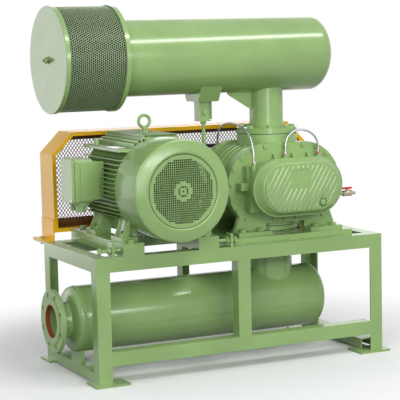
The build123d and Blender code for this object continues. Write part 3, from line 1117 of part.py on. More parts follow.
# ---- discharge silencer -------------------------------------------------------------
with BuildPart() as discharge_silencer:
    left_head = 45.0
    with BuildSketch(Plane.XZ):
        with BuildLine():
            Line((DISCHARGE_X0, DISCHARGE_R), (DISCHARGE_X1, DISCHARGE_R))
            rise = DISCHARGE_END - DISCHARGE_X1
            EllipticalCenterArc((DISCHARGE_X1, 0), rise, DISCHARGE_R, start_angle=0, arc_size=90)
            Line((DISCHARGE_END, 0), (DISCHARGE_END - 5, 0))
            EllipticalCenterArc((DISCHARGE_X1, 0), rise - 5, DISCHARGE_R - 5, start_angle=0, arc_size=90)
            Line((DISCHARGE_X1, DISCHARGE_R - 5), (DISCHARGE_X0, DISCHARGE_R - 5))
            Line((DISCHARGE_X0, DISCHARGE_R - 5), (DISCHARGE_X0 - left_head + 5, NECK_R - 5))
            Line((DISCHARGE_X0 - left_head + 5, NECK_R - 5), (PORT_FACE_X + FLANGE_T, NECK_R - 5))
            Line((PORT_FACE_X + FLANGE_T, NECK_R - 5), (PORT_FACE_X + FLANGE_T, NECK_R))
            Line((PORT_FACE_X + FLANGE_T, NECK_R), (DISCHARGE_X0 - left_head, NECK_R))
            Line((DISCHARGE_X0 - left_head, NECK_R), (DISCHARGE_X0 - left_head + 15, NECK_R + 20))
            Line((DISCHARGE_X0 - left_head + 15, NECK_R + 20), (DISCHARGE_X0, DISCHARGE_R))
        make_face()
    revolve(axis=Axis.X)
    rod(RISER_R - 8, (BLOWER_X, 0, 0), (BLOWER_X, 0, DISCHARGE_R + 5), Mode.SUBTRACT)
discharge_silencer.part = discharge_silencer.part.moved(Location((0, 0, DISCHARGE_Z)))
keep(discharge_silencer, "discharge_silencer")

with BuildPart() as silencer_cores:
    with BuildSketch(Plane(origin=(SILENCER_X0 + 6, 0, SILENCER_Z), z_dir=(1, 0, 0))):
        Circle(82)
        Circle(79, mode=Mode.SUBTRACT)
    extrude(amount=620)
    with BuildSketch(Plane(origin=(SILENCER_X0 + 626, 0, SILENCER_Z), z_dir=(1, 0, 0))):
        Circle(SILENCER_R - TANK_WALL)
        Circle(79, mode=Mode.SUBTRACT)
    extrude(amount=4)
    with BuildSketch(Plane(origin=(DISCHARGE_X0 + 20, 0, DISCHARGE_Z), z_dir=(1, 0, 0))):
        Circle(73)
        Circle(70, mode=Mode.SUBTRACT)
    extrude(amount=700)
    for x in (DISCHARGE_X0 + 20, DISCHARGE_X0 + 716):
        with BuildSketch(Plane(origin=(x, 0, DISCHARGE_Z), z_dir=(1, 0, 0))):
            Circle(DISCHARGE_R - 5)
            Circle(70, mode=Mode.SUBTRACT)
        extrude(amount=4)
keep(silencer_cores, "silencer_cores")

with BuildPart() as discharge_flange:
    with BuildSketch(Plane(origin=(PORT_FACE_X + 3, 0, DISCHARGE_Z), z_dir=(1, 0, 0))):
        Circle(PORT_R)
        Circle(NECK_R - 5, mode=Mode.SUBTRACT)
    extrude(amount=FLANGE_T - 3)
    with BuildSketch(Plane(origin=(PORT_FACE_X, 0, DISCHARGE_Z), z_dir=(1, 0, 0))):
        Circle(106)
        Circle(NECK_R - 5, mode=Mode.SUBTRACT)
    extrude(amount=3)
    with Locations(*ring_places((PORT_FACE_X + 3, 0, DISCHARGE_Z), (1, 0, 0), FLANGE_PCD, FLANGE_BOLTS)):
        Cylinder(FLANGE_HOLE_R, FLANGE_T - 3, align=(Align.CENTER, Align.CENTER, Align.MIN),
                 mode=Mode.SUBTRACT)
keep(discharge_flange, "discharge_flange")

GUSSET_T = 8.0
with BuildPart() as silencer_brackets:
    with BuildSketch(Plane.XZ.offset(-GUSSET_T / 2)):
        with BuildLine():
            left, top = BLOWER_X - NECK_R, SILENCER_Z - SILENCER_R
            Polyline((left, top), (left - 124, top), (left - 124, top - 8), (left, top - 84), close=True)
        make_face()
    extrude(amount=GUSSET_T)
    block(-700, -682, -60, 60, PLATE_T + CHANNEL_H, 130)
    rod(DISCHARGE_R, (-710, 0, DISCHARGE_Z), (-670, 0, DISCHARGE_Z), Mode.SUBTRACT)
keep(silencer_brackets, "silencer_brackets")
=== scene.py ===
# %% [markdown]
# # A Roots vacuum pump package
# The pump, its motor, belt guard, silencers and welded frame come from the CAD model at their
# real size. This lesson gives each surface its finish and adds the fine parts that are easier
# to make in Blender: pierced grilles, expanded mesh, braided hoses, pleats and weld beads.
# First the frame is loaded. Nothing in it is moved, so each new piece takes its place from it.

# %% Load the CAD frame
import json
import math

import bpy
from mathutils import Matrix, Vector

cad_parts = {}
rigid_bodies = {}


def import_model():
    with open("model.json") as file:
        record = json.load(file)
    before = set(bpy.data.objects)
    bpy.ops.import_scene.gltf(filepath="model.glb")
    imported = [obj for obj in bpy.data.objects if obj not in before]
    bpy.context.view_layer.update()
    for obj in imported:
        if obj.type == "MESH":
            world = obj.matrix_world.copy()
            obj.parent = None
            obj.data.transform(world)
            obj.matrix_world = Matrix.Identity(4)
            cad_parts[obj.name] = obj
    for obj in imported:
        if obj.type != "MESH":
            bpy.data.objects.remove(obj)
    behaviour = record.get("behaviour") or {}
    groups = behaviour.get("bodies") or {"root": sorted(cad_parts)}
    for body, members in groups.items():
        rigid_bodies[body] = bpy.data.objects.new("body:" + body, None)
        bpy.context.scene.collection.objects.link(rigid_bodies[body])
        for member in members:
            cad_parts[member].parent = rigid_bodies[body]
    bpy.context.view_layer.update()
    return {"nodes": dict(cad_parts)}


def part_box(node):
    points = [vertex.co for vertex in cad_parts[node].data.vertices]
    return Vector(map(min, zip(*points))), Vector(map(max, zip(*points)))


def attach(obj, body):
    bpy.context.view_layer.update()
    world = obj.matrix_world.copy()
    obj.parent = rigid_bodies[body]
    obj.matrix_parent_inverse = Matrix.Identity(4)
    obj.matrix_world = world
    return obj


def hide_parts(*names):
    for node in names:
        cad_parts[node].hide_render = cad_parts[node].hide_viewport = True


for leftover in list(bpy.data.objects):
    bpy.data.objects.remove(leftover)
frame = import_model()
MM = 0.001

# %% [markdown]
# ## The camera
# The camera stands almost seven metres off, left of the package and at about the height of its
# top, with a long lens, so upright edges stay nearly parallel. Its directions are worked out from
# three angles: a turn to the right, a slight look down and a small roll.

# %% Camera
SENSOR_MM, LENS_MM = 36.0, 131.4
CAMERA_PLACE = (-2.971, -6.106, 1.502)
camera_data = bpy.data.cameras.new("view_camera")
camera_data.sensor_width = SENSOR_MM
camera_data.lens = LENS_MM
camera = bpy.data.objects.new("view_camera", camera_data)
bpy.context.scene.collection.objects.link(camera)
turn, dip, roll = math.radians(25.47), math.radians(6.42), math.radians(-1.33)
forward = Vector((math.sin(turn) * math.cos(dip), math.cos(turn) * math.cos(dip), -math.sin(dip)))
level = Vector((math.cos(turn), -math.sin(turn), 0))
upright = level.cross(forward)
side = level * math.cos(roll) + upright * math.sin(roll)
top = upright * math.cos(roll) - level * math.sin(roll)
turned_to_view = Matrix((side, top, -forward)).transposed().to_4x4()
camera.matrix_world = Matrix.Translation(CAMERA_PLACE) @ turned_to_view
bpy.context.scene.camera = camera
bpy.context.scene.view_settings.view_transform = "Standard"
print("camera distance", round(math.hypot(*CAMERA_PLACE[:2]), 2), "m, lens", LENS_MM, "mm")

# %% [markdown]
# ## Light
# Large soft lamps stand in for a studio's light boxes. The front and high ones draw the two
# long highlights along the silencer, the left ones wash the faces that look to the left, and
# weak ones from behind keep the far side readable. The world is white where the camera and
# reflections see it. For all other rays it is a soft light, stronger from above than from below.

# %% Lamps and world
# name: place in metres, (width, height) in metres, watts
LAMPS = {
    "front_strip": ((0.3, -5.3, 2.1), (2.4, 0.7), 82.0),
    "front_low_lamp": ((-1.3, -5.6, 1.0), (1.5, 1.2), 34.0),
    "high_strip": ((1.8, -2.9, 4.8), (2.8, 0.5), 104.0),
    "left_front_lamp": ((-3.4, -4.7, 2.6), (2.2, 2.2), 98.0),
    "left_side_lamp": ((-5.4, 0.2, 2.2), (2.4, 2.4), 38.0),
    "left_back_lamp": ((-3.3, 4.6, 1.0), (3.2, 2.6), 36.0),
    "back_lamp": ((2.4, 4.4, 3.0), (3.0, 3.0), 44.0),
}
AIM = Vector((0, 0, 0.8))
for name, (place, (width, height), watts) in LAMPS.items():
    lamp_data = bpy.data.lights.new(name, "AREA")
    lamp_data.shape, lamp_data.energy = "RECTANGLE", watts
    lamp_data.size, lamp_data.size_y = width, height
    lamp = bpy.data.objects.new(name, lamp_data)
    lamp.location = place
    lamp.rotation_euler = (AIM - lamp.location).to_track_quat("-Z", "Y").to_euler()
    bpy.context.scene.collection.objects.link(lamp)

world = bpy.data.worlds.new("soft_world")
bpy.context.scene.world = world
world.use_nodes = True
sky = world.node_tree
sky.nodes.clear()


def sky_node(kind, operation=None):
    """Add a node to the world, with its operation where it has one."""
    made = sky.nodes.new("ShaderNode" + kind)
    if operation:
        made.operation = operation
    return made


path = sky_node("LightPath")
mirrored, seen = sky_node("Math", "MAXIMUM"), sky_node("Math", "MAXIMUM")
soft, white = sky_node("Background"), sky_node("Background")
facing, rise, grade = sky_node("TexCoord"), sky_node("SeparateXYZ"), sky_node("MapRange")
pick, out = sky_node("MixShader"), sky_node("OutputWorld")
soft.inputs["Color"].default_value = (0.93, 0.96, 1.0, 1)
white.inputs["Color"].default_value = (1, 1, 1, 1)
white.inputs["Strength"].default_value = 1.0
for socket, value in (("From Min", -0.25), ("From Max", 0.7), ("To Min", 0.05), ("To Max", 0.40)):
    grade.inputs[socket].default_value = value
for source, target in (
    (path.outputs["Is Glossy Ray"], mirrored.inputs[0]),
    (path.outputs["Is Transmission Ray"], mirrored.inputs[1]),
    (path.outputs["Is Camera Ray"], seen.inputs[0]),
    (mirrored.outputs[0], seen.inputs[1]),
    (facing.outputs["Generated"], rise.inputs[0]),
    (rise.outputs["Z"], grade.inputs["Value"]),
    (grade.outputs[0], soft.inputs["Strength"]),
    (seen.outputs[0], pick.inputs["Fac"]),
    (soft.outputs[0], pick.inputs[1]),
    (white.outputs[0], pick.inputs[2]),
    (pick.outputs[0], out.inputs["Surface"]),
):
    sky.links.new(source, target)
print("lamps", len(LAMPS), "total watts", sum(watts for _, _, watts in LAMPS.values()))

# %% [markdown]
# ## Shader maths as Python
# A finish is a small graph of nodes. One class wraps a socket so that `1 - noise * 0.2` adds the
# Math nodes it needs, and one method makes any other node from its type, its settings and the
# values of its sockets. The short methods after it are the steps that most finishes share.

# %% Sockets that can be added and multiplied
class Wire:
    """A shader socket that takes part in sums."""

    def __init__(self, finish, socket):
        self.finish, self.socket = finish, socket

    def math(self, operation, first, second):
        """Join two wires or numbers with a Math node."""
        return self.finish.node("Math", {"operation": operation}, {0: first, 1: second})

    def __add__(self, other):
        return self.math("ADD", self, other)

    def __radd__(self, other):
        return self.math("ADD", other, self)

    def __rsub__(self, other):
        return self.math("SUBTRACT", other, self)

    def __mul__(self, other):
        return self.math("MULTIPLY", self, other)

    def clamp(self, low, high):
        """Keep the value between low and high."""
        return self.math("MINIMUM", self.math("MAXIMUM", self, low), high)


class Finish:
    """A material under construction, with one Principled shader."""

    def __init__(self, name, **constants):
        self.material = bpy.data.materials.new(name)
        self.material.use_nodes = True
        self.tree = self.material.node_tree
        self.tree.nodes.clear()
        self.output = self.tree.nodes.new("ShaderNodeOutputMaterial")
        self.shader = self.tree.nodes.new("ShaderNodeBsdfPrincipled")
        self.tree.links.new(self.shader.outputs[0], self.output.inputs["Surface"])
        for socket, value in constants.items():
            self.shader.inputs[socket.replace("_", " ")].default_value = value

    def node(self, kind, settings=None, sockets=None, out=0):
        """Make a node, and return one of its outputs as a wire."""
        made = self.tree.nodes.new("ShaderNode" + kind)
        for key, value in (settings or {}).items():
            setattr(made, key, value)
        for key, value in (sockets or {}).items():
            if isinstance(value, Wire):
                self.tree.links.new(value.socket, made.inputs[key])
            else:
                made.inputs[key].default_value = value
        return Wire(self, made.outputs[out])

    def set(self, socket, wire):
        """Lead a wire into a socket of the shader."""
        self.tree.links.new(wire.socket, self.shader.inputs[socket])

    def place(self):
        """Position on the object, in metres."""
        return self.node("TexCoord", out="Object")

    def noise(self, scale, detail=4.0):
        """Soft noise from 0 to 1, with scale as its spots per metre."""
        return self.node("TexNoise", {}, {
            "Vector": self.place(), "Scale": scale, "Detail": detail, "Roughness": 0.6,
        })

    def tint(self, factor, first, second):
        """Mix two colours: factor 0 gives the first, 1 the second."""
        return self.node("Mix", {"data_type": "RGBA"}, {0: factor, 6: first, 7: second}, out=2)

    def band(self, wire, low, high):
        """0 below low, 1 above high, and a soft step between."""
        return self.node("MapRange", {"interpolation_type": "SMOOTHSTEP"}, {
            "Value": wire, "From Min": low, "From Max": high,
        })

    def part_of(self, vector, axis):
        """One coordinate of a vector: 0, 1 or 2 for X, Y or Z."""
        return self.node("SeparateXYZ", {}, {0: vector}, out=axis)

    def normal(self):
        """The direction that the surface looks in."""
        return self.node("NewGeometry", out="Normal")

    def up_facing(self):
        """1 where the surface looks up, 0 where it is upright."""
        return self.band(self.part_of(self.normal(), 2), 0.55, 0.95)

    def bump(self, height, distance, strength):
        """Raise the skin by a height wire times a distance in metres."""
        self.set("Normal", self.node("Bump", {}, {
            "Height": height, "Distance": distance, "Strength": strength,
        }))


def shade(colour, factor):
    """A colour made lighter or darker, with full alpha."""
    return tuple(min(1.0, c * factor) for c in colour[:3]) + (1.0,)


print("finish methods", [name for name in vars(Finish) if not name.startswith("_")])

# %% [markdown]
# ## The floor
# The floor is a pale disc that fades out with the distance from its centre, so it keeps the
# shadow and has no visible edge. Rays that only carry light find it darker than the camera does,
# so that it doesn't light the underside of the tanks too much.

# %% Floor
FLOOR_R, FADE_FROM, FADE_TO = 2.0, 0.9, 1.9
floor_finish = Finish("floor_paint", Roughness=0.9)
centre_distance = floor_finish.node("VectorMath", {"operation": "LENGTH"},
                                    {0: floor_finish.place()}, out=1)
pale = floor_finish.tint(floor_finish.noise(1.5), (0.93, 0.93, 0.93, 1), (0.95, 0.95, 0.95, 1))
by_camera, by_gloss, by_glass = (
    floor_finish.node("LightPath", out=ray)
    for ray in ("Is Camera Ray", "Is Glossy Ray", "Is Transmission Ray")
)
watched = (by_camera + by_gloss + by_glass).clamp(0, 1)
floor_finish.set("Base Color", floor_finish.tint(watched, (0.22, 0.22, 0.22, 1), pale))
floor_finish.set("Alpha", 1 - floor_finish.band(centre_distance, FADE_FROM, FADE_TO))
bpy.ops.object.select_all(action="DESELECT")
bpy.ops.mesh.primitive_circle_add(vertices=96, radius=FLOOR_R, fill_type="NGON")
floor = bpy.context.object
floor.name = "studio_floor"
floor.data.materials.append(floor_finish.material)
print("floor radius", FLOOR_R, "m, fades from", FADE_FROM, "to", FADE_TO)

# %% [markdown]
# ## Machine enamel
# Nearly all of the package is sprayed in one sage green enamel, over fabricated steel and over
# sand castings. The paint is the same, but the skin under it differs: sheet is nearly smooth
# with a faint orange peel, and castings are grainy. A slow noise shifts the colour a little, a
# second one changes the gloss, and a thin pale dust lies on faces that look up.

# %% Enamel finishes
GREEN = (0.272, 0.425, 0.150)
YELLOW = (1.0, 0.52, 0.004)
DUST = (0.56, 0.55, 0.48, 1)


def enamel(name, colour, grain, depth, gloss=0.15, dust=0.08, scuff=0.10, sheen=0.5):
    """Sprayed paint: grain is the skin's bumps per metre, depth their height in metres."""
    paint = Finish(name, Specular_IOR_Level=sheen)
    drift = paint.noise(2.6, 5.0)
    mottle = paint.noise(34.0, 3.0)
    body = paint.tint(paint.band(drift, 0.32, 0.70), shade(colour, 0.90), shade(colour, 1.08))
    body = paint.tint(paint.band(mottle, 0.50, 0.80) * scuff, body, shade(colour, 0.72))
    settled = paint.up_facing() * paint.band(paint.noise(11.0, 6.0), 0.35, 0.75) * dust
    paint.set("Base Color", paint.tint(settled, body, DUST))
    paint.set("Roughness", (gloss + mottle * 0.10 + settled * 0.5).clamp(0.05, 1.0))
    paint.bump(paint.noise(grain, 2.0) + paint.noise(grain * 0.21, 2.0) * 0.6, depth, 0.4)
    return paint.material


sheet_green = enamel("green_enamel_on_sheet", GREEN, 420.0, 0.00012)
cast_green = enamel("green_enamel_on_casting", GREEN, 260.0, 0.0006, gloss=0.26)
motor_green = enamel("green_enamel_on_motor", shade(GREEN, 0.97), 300.0, 0.0002,
                     gloss=0.17, sheen=0.45)
guard_yellow = enamel("yellow_guard_enamel", YELLOW, 420.0, 0.0003,
                      gloss=0.28, dust=0.05, scuff=0.05, sheen=0.3)
mesh_green = enamel("green_enamel_on_mesh", (0.235, 0.325, 0.165), 300.0, 0.0003,
                    gloss=0.36, dust=0.0)
# paler green on the gear cover's ribs: a painted highlight
rib_highlight_green = enamel("green_enamel_painted_highlight", (0.50, 0.64, 0.38), 300.0, 0.0005,
                    gloss=0.24, dust=0.0)
# darker, duller green for the motor's ledge: its darker colour is painted shade
ledge_shade_green = enamel("green_enamel_matte_painted_shade", (0.235, 0.330, 0.170), 300.0, 0.0003,
                     gloss=0.52, sheen=0.2)
print("enamels", [m.name for m in bpy.data.materials if "enamel" in m.name])

# %% [markdown]
# ## Bare metal and small parts
# Fasteners are zinc plated: pale, slightly patchy and scratched. Shafts and gears are machined
# steel, and rotors and pulleys are grey iron. A second helper makes what isn't metal: rubber,
# plastic, varnished copper wire and felt, and a dull near-black green that is painted shade, for
# the fan inside the cowl and for the gaps between the motor's top fins.

# %% Bare finishes
def bare_metal(name, colour, roughness, scratch=0.0002):
    """Bare or plated metal: patches shift its colour and gloss, scratch is its grain's height."""
    metal = Finish(name, Metallic=1.0)
    patches = metal.noise(90.0, 5.0)
    metal.set("Base Color", metal.tint(patches, shade(colour, 0.78), shade(colour, 1.12)))
    metal.set("Roughness", (roughness + patches * 0.18).clamp(0.05, 1.0))
    metal.bump(metal.noise(900.0, 2.0), scratch, 0.5)
    return metal.material


def plain_stuff(name, colour, roughness, grain=500.0, depth=0.0003):
    """Plastic, rubber or felt: colour drifts a little and the skin is faintly grained."""
    stuff = Finish(name)
    drift = stuff.noise(28.0, 5.0)
    stuff.set("Base Color", stuff.tint(drift, shade(colour, 0.84), shade(colour, 1.16)))
    stuff.set("Roughness", (roughness + stuff.noise(70.0) * 0.12).clamp(0.05, 1.0))
    stuff.bump(stuff.noise(grain, 3.0), depth, 0.6)
    return stuff.material


zinc = bare_metal("zinc_plate", (0.70, 0.71, 0.70), 0.30)
machined = bare_metal("machined_steel", (0.62, 0.63, 0.64), 0.26)
iron = bare_metal("grey_iron", (0.22, 0.225, 0.23), 0.42, scratch=0.0005)
brass = bare_metal("plated_brass", (0.42, 0.36, 0.25), 0.30)
machined_braid = bare_metal("plain_braid_core", (0.6, 0.6, 0.6), 0.4)
rubber = plain_stuff("black_rubber", (0.022, 0.022, 0.022), 0.66)
red_plastic = plain_stuff("red_handle_plastic", (0.56, 0.025, 0.02), 0.40)
copper = plain_stuff("varnished_copper", (0.42, 0.15, 0.05), 0.35)
felt_black = plain_stuff("dark_filter_felt", (0.030, 0.032, 0.028), 0.90,
                         grain=900.0, depth=0.0008)
# near-black green: painted shade on the fan inside the cowl and in the gaps between the top fins
painted_shade_green = plain_stuff("painted_shade_dark_green", (0.026, 0.040, 0.032), 0.45)
print("materials so far", len(bpy.data.materials))

# %% [markdown]
# ## Finishes with a second layer
# Some parts show two finishes at once, mixed by a mask. The discharge flange is green outside,
# and its bore has only red oxide primer, so its mask grows from the distance to the bore's axis.
# The jack bolts and frame bolts were oversprayed: green lies over most of the zinc. The hose
# fittings keep a reddish heat tint where they were brazed. The guard's net and rim are yellow
# on faces that look away from the motor and brown on the others, a painted shade for the belt
# side, so their mask reads the normal. Where the fan shades the motor's end shield, its colour
# is painted shade, nearly black.

# %% Two-layer finishes
def two_layers(name, first, second, mask, metal_first=0.0, metal_second=0.0, roughness=0.34):
    """Mix two colours by mask(coat), which returns a wire from 0 to 1."""
    coat = Finish(name)
    share = mask(coat)
    drift = coat.noise(24.0, 5.0)
    clean = coat.tint(share, first, second)
    dull = coat.tint(share, shade(first, 0.7), shade(second, 0.6))
    coat.set("Base Color", coat.tint(drift * 0.3, clean, dull))
    coat.set("Metallic", metal_first + share * (metal_second - metal_first))
    coat.set("Roughness", (roughness + drift * 0.22).clamp(0.05, 1.0))
    coat.bump(coat.noise(300.0, 2.0), 0.0005, 0.6)
    return coat.material


BORE_R = 0.0752
SHIELD_SHADE_Y = -0.240
port_low, port_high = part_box("discharge_flange")
port_axis = (0.0, (port_low[1] + port_high[1]) / 2, (port_low[2] + port_high[2]) / 2)


def in_bore(coat):
    """1 within the flange's bore."""
    offset = coat.node("VectorMath", {"operation": "SUBTRACT"}, {0: coat.place(), 1: port_axis})
    flat = coat.node("VectorMath", {"operation": "MULTIPLY"}, {0: offset, 1: (0, 1, 1)})
    distance = coat.node("VectorMath", {"operation": "LENGTH"}, {0: flat}, out=1)
    return 1 - coat.band(distance, BORE_R, BORE_R + 0.0015)


def bare_spots(coat):
    """1 where the overspray missed the zinc."""
    return coat.band(coat.noise(38.0, 3.0), 0.60, 0.70)


def heat_tint(coat):
    """1 in the patches that the brazing tinted."""
    return coat.band(coat.noise(70.0, 2.0), 0.46, 0.60)


def faces_back(coat):
    """1 on faces that look away from the motor, through the back of the guard; 0 gets the painted
    shade.
    """
    return coat.band(coat.part_of(coat.normal(), 1), 0.3, 0.7)


def painted_shade_behind_fan(coat):
    """1 on the end shield's side that the fan hides, which gets the painted shade."""
    return 1 - coat.band(coat.part_of(coat.place(), 1), SHIELD_SHADE_Y, SHIELD_SHADE_Y + 0.010)


green_coat, yellow_coat = shade(GREEN, 1.0), shade(YELLOW, 1.0)
port_green = two_layers("green_over_primed_bore", green_coat, (0.33, 0.075, 0.035, 1), in_bore)
worn_zinc = two_layers("oversprayed_zinc", green_coat, (0.66, 0.67, 0.64, 1), bare_spots,
                       metal_second=0.9)
# the brown on the belt side of the guard's rim and net is painted shade
guard_rim = two_layers("yellow_guard_painted_shade_inside", (0.17, 0.070, 0.008, 1), yellow_coat,
                       faces_back, roughness=0.38)
guard_net = two_layers("yellow_net_painted_shade_inside", (0.25, 0.165, 0.10, 1), yellow_coat,
                       faces_back, roughness=0.40)
fitting_metal = two_layers("heat_tinted_fitting", (0.66, 0.62, 0.60, 1), (0.44, 0.17, 0.11, 1),
                           heat_tint, metal_first=0.9, metal_second=0.8, roughness=0.26)
# painted shade: the end shield is near black behind the fan
shaded_shield = two_layers("green_shield_painted_shade_behind_fan", green_coat, (0.008, 0.011, 0.008, 1),
                           painted_shade_behind_fan)
print("materials in all", len(bpy.data.materials))

# %% [markdown]
# ## Dressing the CAD nodes
# Each CAD node keeps its mesh and gets a finish in its material slot. The lists follow how the
# real package is made: fabricated parts, castings, the motor, the guard and bare parts. Nodes
# that a finer piece replaces further down get a finish too, so that none is left bare.

# %% Give each node its finish
DRESS = {
    sheet_green: ["foot_plates", "frame_posts", "frame_rails", "frame_lugs", "motor_beams",
                  "blower_base", "inlet_silencer", "inlet_pipe", "filter_back_ring",
                  "filter_screen", "filter_cap", "support_cradle", "silencer_brackets",
                  "discharge_silencer", "outlet_riser", "outlet_ring", "support_rod", "wing_nut",
                  "flange_bolts"],
    cast_green: ["blower_casing", "front_end_plate", "rear_end_plate", "gear_case", "gear_cover",
                 "bearing_covers", "blower_bolts", "sight_glass", "drain_pipe"],
    shaded_shield: ["end_shields"],
    motor_green: ["motor_frame", "fan_cowl", "terminal_box", "terminal_lid", "cable_glands",
                  "lifting_eye"],
    port_green: ["discharge_flange"],
    painted_shade_green: ["motor_fan"],
    guard_yellow: ["guard_shell", "guard_mesh"],
    worn_zinc: ["jack_bolts", "frame_bolts"],
    fitting_metal: ["hose_fittings"],
    machined: ["motor_shaft", "shaft_bearings", "drive_gear", "driven_gear", "silencer_cores"],
    iron: ["drive_rotor", "driven_rotor", "motor_pulley", "blower_pulley"],
    brass: ["valve_body"],
    red_plastic: ["valve_handle"],
    rubber: ["drive_belts", "flange_gaskets"],
    copper: ["stator"],
    felt_black: ["filter_element"],
    machined_braid: ["left_hose", "right_hose"],
}
dressed = 0
for finish, nodes in DRESS.items():
    for node in nodes:
        mesh = frame["nodes"][node].data
        mesh.materials.clear()
        mesh.materials.append(finish)
        dressed += 1
print("dressed nodes", dressed, "of", len(frame["nodes"]))

# %% [markdown]
# ## The two oil hoses
# Two thin hoses in stainless braid carry oil between the gear case and the rear bearings. Each
# is a fixed length held at both ends, so it rises in one arc. A NURBS curve steered by a few
# chosen points gives that arc, and slanted checks on the curve's UV map draw the braid.

# %% Hose curves
HOSE_D = 0.010
ROUTES = {
    "left_hose": [(101, -235, 935), (101, -235, 1000), (99, -165, 1074), (97, -40, 1097),
                  (100, 70, 1086), (112, 150, 1046), (130, 196, 982), (130, 196, 906)],
    "right_hose": [(290, -190, 960), (290, -190, 1008), (320, -190, 1047), (374, -190, 1062),
                   (428, -190, 1045), (466, -190, 1004), (466, -190, 960)],
}

braid = Finish("stainless_braid", Metallic=0.85)
slanted = braid.node("Mapping", {}, {
    "Vector": braid.node("UVMap", {"uv_map": "UVMap"}),
    "Scale": (90.0, 6.0, 1.0),
    "Rotation": (0, 0, math.radians(45)),
})
weave = braid.node("TexChecker", {}, {
    "Vector": slanted, "Scale": 1.0,
    "Color1": (0.62, 0.63, 0.64, 1), "Color2": (0.30, 0.30, 0.31, 1),
})
braid.set("Base Color", weave)
braid.set("Roughness", 0.26 + braid.noise(300.0) * 0.25)
braid.bump(braid.noise(1400.0), 0.0004, 0.8)

for name, route in ROUTES.items():
    curve = bpy.data.curves.new(name + "_braid", "CURVE")
    curve.dimensions = "3D"
    curve.bevel_depth, curve.bevel_resolution = HOSE_D / 2, 3
    curve.use_fill_caps = True
    spline = curve.splines.new("NURBS")
    spline.points.add(len(route) - 1)
    for point, place in zip(spline.points, route):
        point.co = (*[value * MM for value in place], 1.0)
    spline.order_u = 3
    spline.use_endpoint_u = True
    spline.resolution_u = 14
    hose = bpy.data.objects.new(name + "_braid", curve)
    bpy.context.scene.collection.objects.link(hose)
    curve.materials.append(braid.material)
    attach(hose, "package")
    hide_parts(name)
    print(hose.name, "points", len(route))

# %% [markdown]
# ## Helpers for modelling by hand
# The next pieces are modelled with the same operators as in Blender's window, and each helper
# holds a few of them. `begin` starts from a primitive, `edit` selects by a test in edit mode,
# `modify` adds and applies a modifier, `repeat` makes a row, `cut` trims along a plane, and
# `turned` spins a profile. `hand_over` gives the finished piece its place in the assembly.

# %% Modelling helpers
def only(piece):
    """Make this piece the only one selected, and active."""
    bpy.ops.object.select_all(action="DESELECT")
    piece.select_set(True)
    bpy.context.view_layer.objects.active = piece


def settle(piece):
    """Write the piece's place, turn and scale into its mesh."""
    only(piece)
    bpy.ops.object.transform_apply(location=True, rotation=True, scale=True)


def begin(name, adder, **settings):
    """Add a primitive with nothing else selected, and name it."""
    bpy.ops.object.select_all(action="DESELECT")
    adder(**settings)
    piece = bpy.context.object
    piece.name = name
    settle(piece)
    return piece


def edit(piece, mode, test):
    """Enter edit mode with the faces, edges or vertices that pass the test selected."""
    only(piece)
    bpy.ops.object.mode_set(mode="EDIT")
    bpy.ops.mesh.select_mode(type=mode)
    bpy.ops.mesh.select_all(action="DESELECT")
    bpy.ops.object.mode_set(mode="OBJECT")
    mesh = piece.data
    group = {"FACE": mesh.polygons, "EDGE": mesh.edges, "VERT": mesh.vertices}[mode]
    for part in group:
        part.select = bool(test(part))
    bpy.ops.object.mode_set(mode="EDIT")


def leave():
    """Go back to object mode."""
    bpy.ops.object.mode_set(mode="OBJECT")


def modify(piece, kind, **settings):
    """Add a modifier and apply it."""
    only(piece)
    modifier = piece.modifiers.new(kind.lower(), kind)
    for key, value in settings.items():
        setattr(modifier, key, value)
    bpy.ops.object.modifier_apply(modifier=modifier.name)


def repeat(piece, count, step):
    """Repeat the piece in a row, each copy one step from the last."""
    modify(piece, "ARRAY", count=count, use_relative_offset=False, use_constant_offset=True,
           constant_offset_displace=step)


def cut(piece, point, outward):
    """Cut the piece along a plane and drop what lies outwards of it."""
    edit(piece, "FACE", lambda face: True)
    bpy.ops.mesh.bisect(plane_co=point, plane_no=outward, clear_outer=True)
    leave()


def open_up(piece, width):
    """Inset the piece's faces by a width and delete their middles."""
    edit(piece, "FACE", lambda face: True)
    bpy.ops.mesh.inset(thickness=width)
    bpy.ops.mesh.delete(type="FACE")
    leave()


def join(pieces):
    """Join pieces into the first one."""
    only(pieces[0])
    for piece in pieces[1:]:
        piece.select_set(True)
    bpy.ops.object.join()
    return pieces[0]


def merge(piece):
    """Merge vertices that lie on each other."""
    edit(piece, "VERT", lambda vertex: True)
    bpy.ops.mesh.remove_doubles(threshold=0.00005)
    leave()


def outwards(piece):
    """Turn every face's front outwards."""
    edit(piece, "FACE", lambda face: True)
    bpy.ops.mesh.normals_make_consistent(inside=False)
    leave()


def hand_over(piece, finish, body="package", stands_for=()):
    """Give the piece its finish and its place in the assembly."""
    piece.data.materials.clear()
    piece.data.materials.append(finish)
    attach(piece, body)
    if stands_for:
        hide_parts(*stands_for)
    print(piece.name, "faces", len(piece.data.polygons))


def turned(name, profile, centre, axis, steps):
    """Spin an open profile of (radius, distance along the axis) points round an axis."""
    along = Vector(axis)
    outward = Vector((0, 1, 0)) if along.z else Vector((0, 0, 1))
    places = [Vector(centre) + along * way + outward * radius for radius, way in profile]
    mesh = bpy.data.meshes.new(name)
    mesh.from_pydata(places, [(i, i + 1) for i in range(len(places) - 1)], [])
    piece = bpy.data.objects.new(name, mesh)
    bpy.context.scene.collection.objects.link(piece)
    edit(piece, "VERT", lambda vertex: True)
    bpy.ops.mesh.spin(steps=steps, angle=math.tau, center=centre, axis=axis)
    leave()
    merge(piece)
    outwards(piece)
    return piece


def smooth(piece, degrees):
    """Shade smooth, apart from edges sharper than this angle."""
    only(piece)
    bpy.ops.object.shade_smooth_by_angle(angle=math.radians(degrees))


